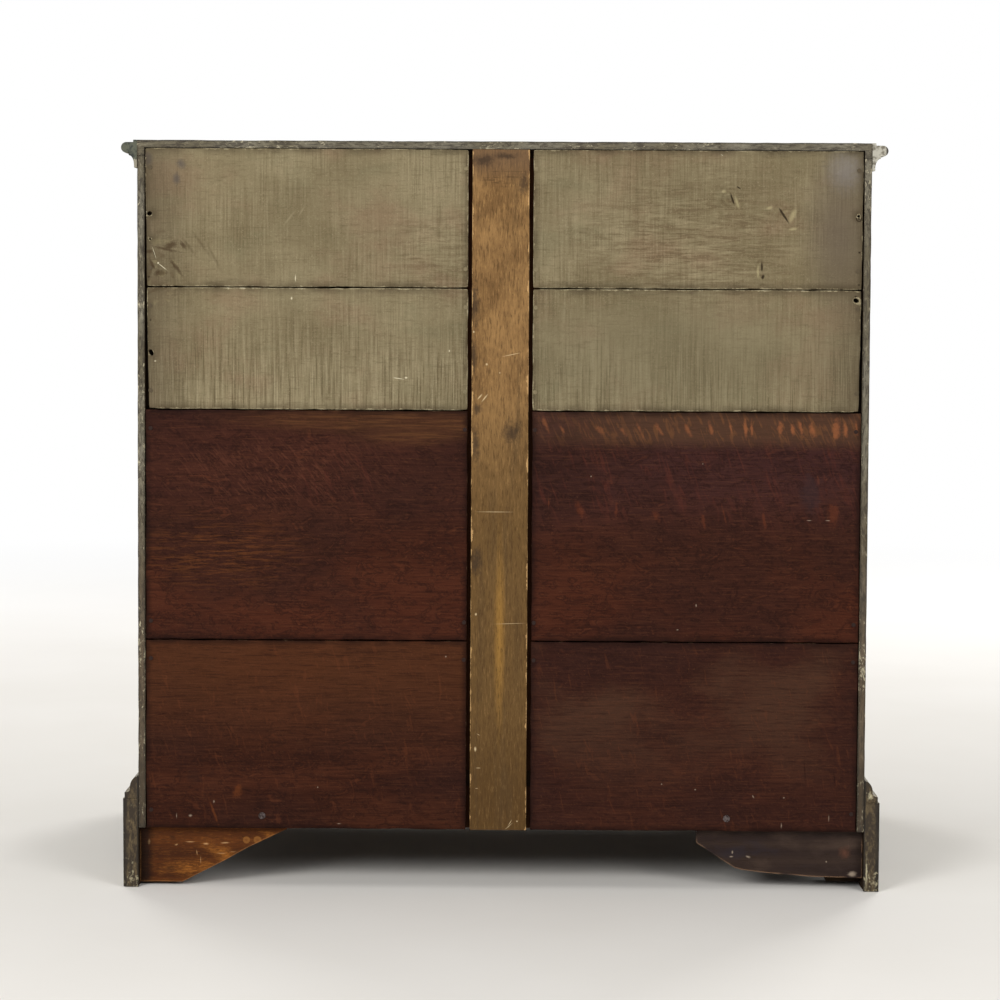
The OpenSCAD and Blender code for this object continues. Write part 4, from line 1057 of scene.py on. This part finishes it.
# %% Grey bracket
grey_bracket = Finish("grey_bracket_wood", Specular_IOR_Level=0.1)
height = bare_oak(grey_bracket, "x", srgb(62, 48, 40), srgb(42, 31, 28), seed=50)
patch = grey_bracket.noise((0.06, 0.06, 0.03), detail=5, seed=54)
grey_bracket.coat(patch.step(0.5, 0.7) * 0.5, srgb(80, 64, 54))
grey_bracket.coat(patch.step(0.45, 0.3) * 0.5, srgb(46, 40, 46))
scuff = grey_bracket.noise((0.006, 0.1, 0.004), detail=6, rough=0.7, seed=57) * 1.4 - 0.7
marks = grey_bracket.spots(
    [
        (-0.3045, 0.048, 0.003, 0.006), (-0.303, 0.042, 0.007, 0.003), (-0.325, 0.042, 0.009, 0.004, -20),
        (-0.428, 0.036, 0.003, 0.003), (-0.462, 0.02, 0.016, 0.01),
    ],
    soft=0.9, ragged=scuff,
)
grey_bracket.coat(marks * 0.7, srgb(176, 158, 138))
blush = grey_bracket.spots([(-0.452, 0.048, 0.02, 0.024)], soft=1.0, ragged=scuff)
grey_bracket.coat(blush * 0.5, srgb(112, 72, 54))
rim = grey_bracket.arris(0.003) * (1 - grey_bracket.z.step(0.056, 0.07)) * patch.step(0.4, 0.5)
grey_bracket.coat(rim * 0.8, srgb(182, 142, 108))
grey_bracket.close(0.6 + height * 0.1, height, 0.0003)
print(grey_bracket)

# %% [markdown]
# ## Metal
# The handles are cast brass, dull in the hollows and bright where fingers rub. A metal has no colour of
# its own under its shine, so Metallic is 1 and the colour tints what it mirrors.

# %% Brass
brass = Finish("old_brass", Metallic=1.0)
tarnish = brass.noise((0.012, 0.012, 0.012), detail=5, rough=0.65)
dull = tarnish.step(0.4, 0.65) * (1 - brass.arris(0.0012) * 0.7)
brass.base(dull, srgb(190, 163, 112), srgb(98, 80, 54))
brass.close(0.28 + dull * 0.3, brass.noise((0.002, 0.002, 0.002), detail=3), 0.0001)
print(brass)

# %% [markdown]
# The nails went in before the paint, so their heads have the boards' own colour: painted above the seam
# between the rows and stained below it. Only the two screws still show bare iron.

# %% Nails and screws
ROW_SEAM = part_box("right_upper_backboards")[0][2]
fixings = Finish("nails_and_screws", Specular_IOR_Level=0.2)
rust = fixings.noise((0.003, 0.003, 0.003), detail=5, rough=0.7)
far_out = abs(fixings.x).step(0.4, 0.41)
fixings.base(rust.step(0.35, 0.65), srgb(118, 106, 80), srgb(134, 122, 94))
fixings.coat(far_out * 0.75, srgb(62, 50, 38))
fixings.coat(1 - fixings.z.step(ROW_SEAM - 0.001, ROW_SEAM + 0.001), srgb(40, 25, 20))
screws = (1 - fixings.z.step(0.11, 0.112)) * (1 - far_out)
fixings.coat(screws, fixings.mix(rust.step(0.4, 0.6), srgb(92, 82, 80), srgb(44, 32, 28)))
fixings.close(0.6 + rust * 0.3, rust, 0.0003)
print(fixings)

# %% [markdown]
# ## Worn copies of the joiner's pieces
# The CAD pieces have razor-sharp edges, and no old furniture does. Each piece that shows from outside is
# therefore a merged copy of its CAD node: long edges are cut into short ones, those are moved a little
# inwards by noise, and a small bevel rounds them. The flats and the joints stay where they are.
# Sculpting could do the same by hand, but this way all pieces get it alike.

# %% Merged copies
MERGE = 2e-5
FLAT_ANGLE = 0.5


def only(piece):
    """Makes one piece the selected and active object."""
    bpy.ops.object.select_all(action="DESELECT")
    piece.select_set(True)
    bpy.context.view_layer.objects.active = piece


def merged_copy(node, name):
    """A copy of a CAD node's mesh with its loose triangles joined into flat faces."""
    piece = bpy.data.objects.new(name, frame["nodes"][node].data.copy())
    bpy.context.scene.collection.objects.link(piece)
    only(piece)
    bpy.ops.mesh.customdata_custom_splitnormals_clear()
    bpy.ops.object.mode_set(mode="EDIT")
    bpy.ops.mesh.select_all(action="SELECT")
    bpy.ops.mesh.remove_doubles(threshold=MERGE)
    bpy.ops.mesh.dissolve_limited(angle_limit=math.radians(FLAT_ANGLE))
    bpy.ops.mesh.normals_make_consistent(inside=False)
    bpy.ops.object.mode_set(mode="OBJECT")
    return piece


print("The CAD's top board has", len(frame["nodes"]["top_board"].data.polygons), "triangles")

# %% [markdown]
# A long straight edge has no points between its ends that could move. Subdividing every face would make
# far too many, so the piece is bisected across its length at short intervals.

# %% Slices
def slice_up(piece, axis, pitch):
    """Cuts a piece across an axis at every pitch metres."""
    only(piece)
    low = min(v.co[axis] for v in piece.data.vertices)
    high = max(v.co[axis] for v in piece.data.vertices)
    count = int((high - low) / pitch)
    normal = [float(i == axis) for i in range(3)]
    bpy.ops.object.mode_set(mode="EDIT")
    for i in range(1, count):
        bpy.ops.mesh.select_all(action="SELECT")
        middle = [0, 0, 0]
        middle[axis] = low + (high - low) * i / count
        bpy.ops.mesh.bisect(plane_co=middle, plane_no=normal)
    bpy.ops.object.mode_set(mode="OBJECT")


print("A slice leaves a loop of edges all round the piece")

# %% [markdown]
# Two layers of noise, one coarse and one fine, say how deep an edge is worn. The bevel comes after that,
# because it can round an edge that already wanders. It can leave points that almost touch, which are
# merged, so that the mesh stays clean.

# %% Worn edges
CHIP_SIZE = 0.03


def chip_depth(point, size, seed):
    """How deep an edge is worn at a point, from 0 to about 1."""
    shift = Vector((seed, seed * 0.7, -seed))
    coarse = noise.noise(point / size + shift)
    fine = noise.noise(point / (size * 0.3) - shift)
    return max(0.0, 0.2 + coarse * 0.8 + fine * 0.4)


def wear_edges(piece, depth, seed):
    """Moves every vertex inwards by noise; before a bevel, all of them lie on edges."""
    mesh = piece.data
    normals = [v.normal.copy() for v in mesh.vertices]
    for vertex, normal in zip(mesh.vertices, normals):
        vertex.co -= normal * depth * chip_depth(vertex.co, CHIP_SIZE, seed)


print("Wear at the origin:", round(chip_depth(Vector(), CHIP_SIZE, 0), 2))

# %% [markdown]
# The bevel is a modifier that is applied at once, with a limit by angle, so that only sharp edges get
# it. Weighted normals then keep the flats looking flat beside the rounds.

# %% Rounded edges
BEVEL_SEGMENTS = 2
SHARP_ANGLE = 25
TOUCHING = 1e-5


def smooth(piece, angle=50):
    """Shades the flats flat and the rounds smooth."""
    only(piece)
    bpy.ops.object.shade_smooth_by_angle(angle=math.radians(angle))
    weighted = piece.modifiers.new("Flat faces lead", "WEIGHTED_NORMAL")
    weighted.keep_sharp = True
    bpy.ops.object.modifier_apply(modifier=weighted.name)


def soften(piece, radius):
    """Rounds the sharp edges of a piece."""
    only(piece)
    bevel = piece.modifiers.new("Worn arris", "BEVEL")
    bevel.width = radius
    bevel.segments = BEVEL_SEGMENTS
    bevel.limit_method = "ANGLE"
    bevel.angle_limit = math.radians(SHARP_ANGLE)
    bpy.ops.object.modifier_apply(modifier=bevel.name)
    bpy.ops.object.mode_set(mode="EDIT")
    bpy.ops.mesh.select_all(action="SELECT")
    bpy.ops.mesh.remove_doubles(threshold=TOUCHING)
    bpy.ops.object.mode_set(mode="OBJECT")
    smooth(piece)


print("Edges over", SHARP_ANGLE, "degrees become", BEVEL_SEGMENTS, "narrow faces")

# %% [markdown]
# A Bevel node can't see the narrow faces of a worn edge as a strip of their own. The mesh can: at a
# point of the edge, every face is small, and they turn. Flat slivers are left out, and the attribute
# arris keeps the result for the paint.

# %% Mark of the worn edges
SLIVER = 1e-10
BEVEL_FACE = 1.2e-5
TURNED = 0.999


def mark_arris(piece):
    """Adds the attribute arris: 1 where only small, turning faces meet; returns how many points."""
    largest = [0.0] * len(piece.data.vertices)
    first = [None] * len(piece.data.vertices)
    bent = [False] * len(piece.data.vertices)
    for face in piece.data.polygons:
        if face.area > SLIVER:
            for i in face.vertices:
                largest[i] = max(largest[i], face.area)
                first[i] = first[i] or face.normal.copy()
                bent[i] = bent[i] or first[i].dot(face.normal) < TURNED
    arris = piece.data.attributes.new("arris", "FLOAT", "POINT")
    for i, point in enumerate(arris.data):
        point.value = float(bent[i] and largest[i] < BEVEL_FACE)
    return sum(point.value for point in arris.data)


print("Faces under", BEVEL_FACE * 1e6, "mm2 count as part of an edge")

# %% [markdown]
# Last, a piece gets its finish, its body and the CAD node it stands for, so that it moves with that
# body and the plain node is hidden.

# %% Finish and body of a piece
def clothe(piece, finishes, rule=None):
    """Gives a piece one finish, or the first where rule(centre, normal) holds and else the second."""
    piece.data.materials.clear()
    for finish in finishes:
        piece.data.materials.append(finish.material)
    for face in piece.data.polygons:
        face.material_index = 0 if rule is None or rule(face.center, face.normal) else 1


def settle(piece, body, slot, *nodes):
    """The piece rides on its body and stands for its CAD nodes."""
    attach(piece, body)
    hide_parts(*nodes)
    print(piece.name, len(piece.data.polygons), "faces")


# %% [markdown]
# ### Backboards
# Each bay has four boards. A CAD node holds two of them, so the copy is separated into its loose parts.
# A fine grid of cuts lets the boards' edges wander and the faces rise and sink a little.

# %% Strips and limits
ALONG = 0.9


def edges_along(piece, axis, count):
    """Divides every edge that runs along an axis; a box turns into strips."""
    only(piece)
    bpy.ops.object.mode_set(mode="EDIT")
    bpy.ops.mesh.select_mode(type="EDGE")
    bpy.ops.mesh.select_all(action="DESELECT")
    mesh = bmesh.from_edit_mesh(piece.data)
    for edge in mesh.edges:
        run = (edge.verts[0].co - edge.verts[1].co).normalized()
        edge.select = abs(run[axis]) > ALONG
    bmesh.update_edit_mesh(piece.data)
    bpy.ops.mesh.subdivide(number_cuts=count)
    bpy.ops.object.mode_set(mode="OBJECT")


def limits(piece):
    """The lowest and the highest corner of a piece."""
    low = Vector([min(v.co[i] for v in piece.data.vertices) for i in range(3)])
    high = Vector([max(v.co[i] for v in piece.data.vertices) for i in range(3)])
    return low, high


print("Edges that run within", round(math.degrees(math.acos(ALONG))), "degrees of an axis are divided")

# %% [markdown]
# Old nail holes are bored with a Boolean. The cutters are short round bars, stretched and turned, and
# joined into one first, so that a board is cut only once.

# %% Holes
CUTTER_SIDES = 20
CUTTER_LENGTH = 0.05


def bore(piece, cuts):
    """Cuts holes: each is x, z, length, width and turn in degrees."""
    cutters = []
    for x, z, length, width, turn in cuts:
        bpy.ops.object.select_all(action="DESELECT")
        bpy.ops.mesh.primitive_cylinder_add(
            vertices=CUTTER_SIDES, radius=0.5, depth=CUTTER_LENGTH, location=(0, 0, 0),
            rotation=(math.pi / 2, 0, 0),
        )
        cutter = bpy.context.object
        bpy.ops.object.transform_apply()
        cutter.scale = (length, 1, width)
        cutter.rotation_euler = (0, math.radians(turn), 0)
        cutter.location = (x, BACK_Y, z)
        bpy.ops.object.transform_apply()
        cutters.append(cutter)
    if not cutters:
        return
    only(cutters[0])
    for cutter in cutters:
        cutter.select_set(True)
    bpy.ops.object.join()
    cutter = bpy.context.object
    only(piece)
    boolean = piece.modifiers.new("Holes", "BOOLEAN")
    boolean.object = cutter
    boolean.solver = "EXACT"
    bpy.ops.object.modifier_apply(modifier=boolean.name)
    bpy.data.objects.remove(cutter)


print("A cutter reaches", CUTTER_LENGTH / 2, "m into a board")

# %% [markdown]
# A board wears most at its edges and corners, so each point's distance to them decides how far it moves.
# The face swells and sinks in long waves, and lies a little lower near the edges.

# %% Wear of a board
BOARD_GRID = 0.0045
EDGE_WEAR = 0.0011
EDGE_BAND = 0.008
EDGE_CHIPS = 0.035
CORNER_BAND = 0.012
SWELL = 0.0005
SWELL_LENGTH = 0.07
EDGE_DROP = 0.0006


def to_edges(point, low, high):
    """How far a point of a board is from its nearest end and from its nearest long edge."""
    return min(point.x - low.x, high.x - point.x), min(point.z - low.z, high.z - point.z)


def wear_board(piece, low, high, seed, corner_wear):
    """Moves a board's points inwards near its edges, and its back face in and out."""
    middle = (low + high) / 2
    for vertex in piece.data.vertices:
        co = vertex.co
        across, up = (max(0.0, 1 - gap / EDGE_BAND) for gap in to_edges(co, low, high))
        depth = EDGE_WEAR * chip_depth(co, EDGE_CHIPS, seed)
        depth += corner_wear * max(0.0, 1 - sum(to_edges(co, low, high)) / CORNER_BAND)
        inwards = middle - co
        co += Vector((math.copysign(across, inwards.x), 0, math.copysign(up, inwards.z))) * depth
        if co.y > middle.y:
            near = max(across, up)
            co.y -= SWELL * (0.5 + 0.5 * noise.noise(co / SWELL_LENGTH)) + EDGE_DROP * near * near


print("A board's edges wear by up to", EDGE_WEAR * 1000, "mm")

# %% [markdown]
# The attribute edge is written last, when all points are there. The material reads it to know where
# paint has worn off along a board's edges and round its holes.

# %% The eight boards
ARRIS = 0.0009
CORNER_WEAR = {"upper": 0.0006, "lower": 0.0}
# Row, its finish, the number of its first board, slot
ROWS = [("upper", upper, 1, "painted_backboards"), ("lower", lower, 3, "stained_backboards")]
HOLES = {
    "right_board_1": [(0.4595, 0.881, 0.0075, 0.006, 0), (0.4585, 0.848, 0.003, 0.003, 0)],
    "right_board_2": [(0.4575, 0.701, 0.006, 0.009, 25)],
    "left_board_1": [(-0.4585, 0.882, 0.004, 0.004, 0)],
    "left_board_2": [(-0.4565, 0.773, 0.008, 0.006, -20)],
}


def mark_edges(piece, low, high, cuts):
    """Adds the attribute edge: how far each point is from an edge of the board or a nail hole."""
    edge = piece.data.attributes.new("edge", "FLOAT", "POINT")
    for vertex in piece.data.vertices:
        inside = min(to_edges(vertex.co, low, high))
        for x, z, length, *_ in cuts:
            inside = min(inside, math.hypot(vertex.co.x - x, vertex.co.z - z) - length / 2)
        edge.data[vertex.index].value = max(0.0, inside)


for side in ("right", "left"):
    for row, finish, first, slot in ROWS:
        node = side + "_" + row + "_backboards"
        merged_copy(node, node)
        bpy.ops.object.mode_set(mode="EDIT")
        bpy.ops.mesh.select_all(action="SELECT")
        bpy.ops.mesh.separate(type="LOOSE")
        bpy.ops.object.mode_set(mode="OBJECT")
        pair = sorted(bpy.context.selected_objects, key=lambda piece: -limits(piece)[1].z)
        for number, piece in enumerate(pair, first):
            piece.name = side + "_board_" + str(number)
            low, high = limits(piece)
            cuts = HOLES.get(piece.name, [])
            edges_along(piece, 0, int((high - low).x / BOARD_GRID))
            edges_along(piece, 2, int((high - low).z / BOARD_GRID))
            wear_board(piece, low, high, number + 5 * len(side), CORNER_WEAR[row])
            soften(piece, ARRIS)
            bore(piece, cuts)
            mark_edges(piece, low, high, cuts)
            clothe(piece, [finish])
            settle(piece, "carcase", slot, node)

# %% [markdown]
# ### Carcase, mouldings and plinth
# The other painted pieces are sliced along their length, worn and bevelled in the same way. Faces that
# look outwards get paint, and those inside the chest stay bare oak, so each piece has two materials and
# a rule that chooses between them.

# %% Rules for the paint
NEAR = 0.002
LOOKS = 0.3


def outside(centre, normal):
    """Paint covers the outer faces, the rear edges and the front edges of the carcase."""
    on_side = abs(centre.x) > OUTER_X - NEAR and abs(normal.x) > LOOKS
    on_rear_edge = centre.y > BACK_Y - NEAR and normal.y > LOOKS
    on_front = centre.y < FRONT_Y + NEAR and normal.y < -LOOKS
    on_top = centre.z > TOP_Z - NEAR and normal.z > LOOKS
    return on_side or on_rear_edge or on_front or on_top


def away(centre, normal):
    """Paint covers what lies outside the carcase, and the rear ends."""
    outwards = abs(centre.x) > OUTER_X + NEAR or centre.y < FRONT_Y - NEAR
    return outwards or normal.y > LOOKS


print("The middle of the top is painted:", outside(Vector((0, 0, TOP_Z)), Vector((0, 0, 1))))

# %% [markdown]
# One table holds all the painted pieces of the carcase, with how far each is worn. Rails are worn least,
# because the drawers cover them, and the plinth most, because feet and brooms knock it. The edges of the
# top board are worn too, but its bevel comes out too thin to last, so they stay sharp.

# %% Carcase
SLICE = 0.009
# Piece, its CAD node, grain, wear of its edges, radius of its arris, rule for the paint
PAINTED = [
    ("top", "top_board", "x", 0.0009, 0.0012, outside),
    ("left_panel", "left_side", "z", 0.0009, 0.0011, outside),
    ("right_panel", "right_side", "z", 0.0009, 0.0011, outside),
    ("front_rail_faces", "front_rails", "x", 0.0003, 0.0007, outside),
    ("partition_face", "drawer_partition", "z", 0.0003, 0.0007, outside),
    ("front_top_moulding", "top_moulding_front", "x", 0.0008, 0.0007, away),
    ("left_top_moulding", "top_moulding_left", "y", 0.0008, 0.0007, away),
    ("right_top_moulding", "top_moulding_right", "y", 0.0008, 0.0007, away),
    ("front_base_moulding", "base_moulding_front", "x", 0.0008, 0.0008, away),
    ("left_base_moulding", "base_moulding_left", "y", 0.0008, 0.0008, away),
    ("right_base_moulding", "base_moulding_right", "y", 0.0008, 0.0008, away),
    ("front_plinth", "plinth_front", "x", 0.001, 0.002, away),
    ("left_plinth", "plinth_left", "y", 0.001, 0.002, away),
    ("right_plinth", "plinth_right", "y", 0.001, 0.002, away),
]
for number, (name, node, axis, depth, radius, rule) in enumerate(PAINTED):
    piece = merged_copy(node, name)
    slice_up(piece, "xyz".index(axis), SLICE)
    wear_edges(piece, depth, seed=number + 20)
    soften(piece, radius)
    print(mark_arris(piece), "points on the arrises of", name)
    clothe(piece, [paint[axis], oak[axis]], rule)
    settle(piece, "carcase", "painted_wood", node)

# %% [markdown]
# The upright and the two brackets are bare wood all over, so they need one finish each and no rule.

# %% Upright and brackets
WEAR = 0.0006
ROUND = 0.0009
for name, node, finish, axis, slot in [
    ("upright", "back_muntin", upright, 2, "muntin_wood"),
    ("left_bracket", "left_rear_bracket", grey_bracket, 0, "left_bracket_wood"),
    ("right_bracket", "right_rear_bracket", red_bracket, 0, "right_bracket_wood"),
]:
    piece = merged_copy(node, name)
    slice_up(piece, axis, SLICE)
    wear_edges(piece, WEAR, seed=len(name))
    soften(piece, ROUND)
    clothe(piece, [finish])
    settle(piece, "carcase", slot, node)

# %% [markdown]
# ### Drawers and handles
# A drawer front has a rounded lip that is painted like the carcase, and bare oak behind it. The posts,
# their round plates and the bails are copies with smooth shading, because cast brass shows no facets.

# %% Drawer fronts and handle posts
LIP_WEAR = 0.0004
LIP_ROUND = 0.0006
LIP_BACK = 0.0001
POST_ANGLE = 35


def lip_face(centre, normal):
    """Paint covers all of a lip, and nothing behind it."""
    return centre.y < FRONT_Y - LIP_BACK


for number, name in enumerate(DRAWERS):
    piece = merged_copy(name + "_drawer_front", name + "_front")
    slice_up(piece, 0, SLICE)
    slice_up(piece, 2, SLICE)
    wear_edges(piece, LIP_WEAR, seed=number + 60)
    soften(piece, LIP_ROUND)
    print(mark_arris(piece), "points on the arrises of", name)
    clothe(piece, [paint["x"], oak["x"]], lip_face)
    settle(piece, name + "_drawer", "drawer_fronts", name + "_drawer_front")
    posts = merged_copy(name + "_handle_posts", name + "_posts")
    smooth(posts, POST_ANGLE)
    clothe(posts, [brass])
    settle(posts, name + "_drawer", "brass", name + "_handle_posts")

# %% [markdown]
# A bail moves on its own body, and its round ends turn in the bores of the posts, so its copy keeps the
# exact shape of the CAD.

# %% Bails
BAIL_ANGLE = 40
for name in BAILS:
    bail = merged_copy(name, name + "_cast")
    smooth(bail, BAIL_ANGLE)
    clothe(bail, [brass])
    settle(bail, name, "brass", name)

# %% [markdown]
# ### Pieces that keep their CAD shape
# Runners, dust boards and the insides of the drawers need no wear, so they stay as they are and take a
# finish whose grain runs the right way.

# %% Finishes of the CAD pieces
GRAIN = {
    "bottom_board": "x", "drawer_runners": "y", "drawer_kickers": "y", "dust_boards": "x",
    "foot_blocks": "z",
}
for name in DRAWERS:
    GRAIN[name + "_drawer_sides"] = "y"
    GRAIN[name + "_drawer_back"] = "x"
    GRAIN[name + "_drawer_bottom"] = "x"
for node, axis in GRAIN.items():
    for slot in frame["nodes"][node].material_slots:
        slot.material = oak[axis].material
for slot in frame["nodes"]["back_fixings"].material_slots:
    slot.material = fixings.material
print(len(GRAIN) + 1, "nodes keep their CAD shape")
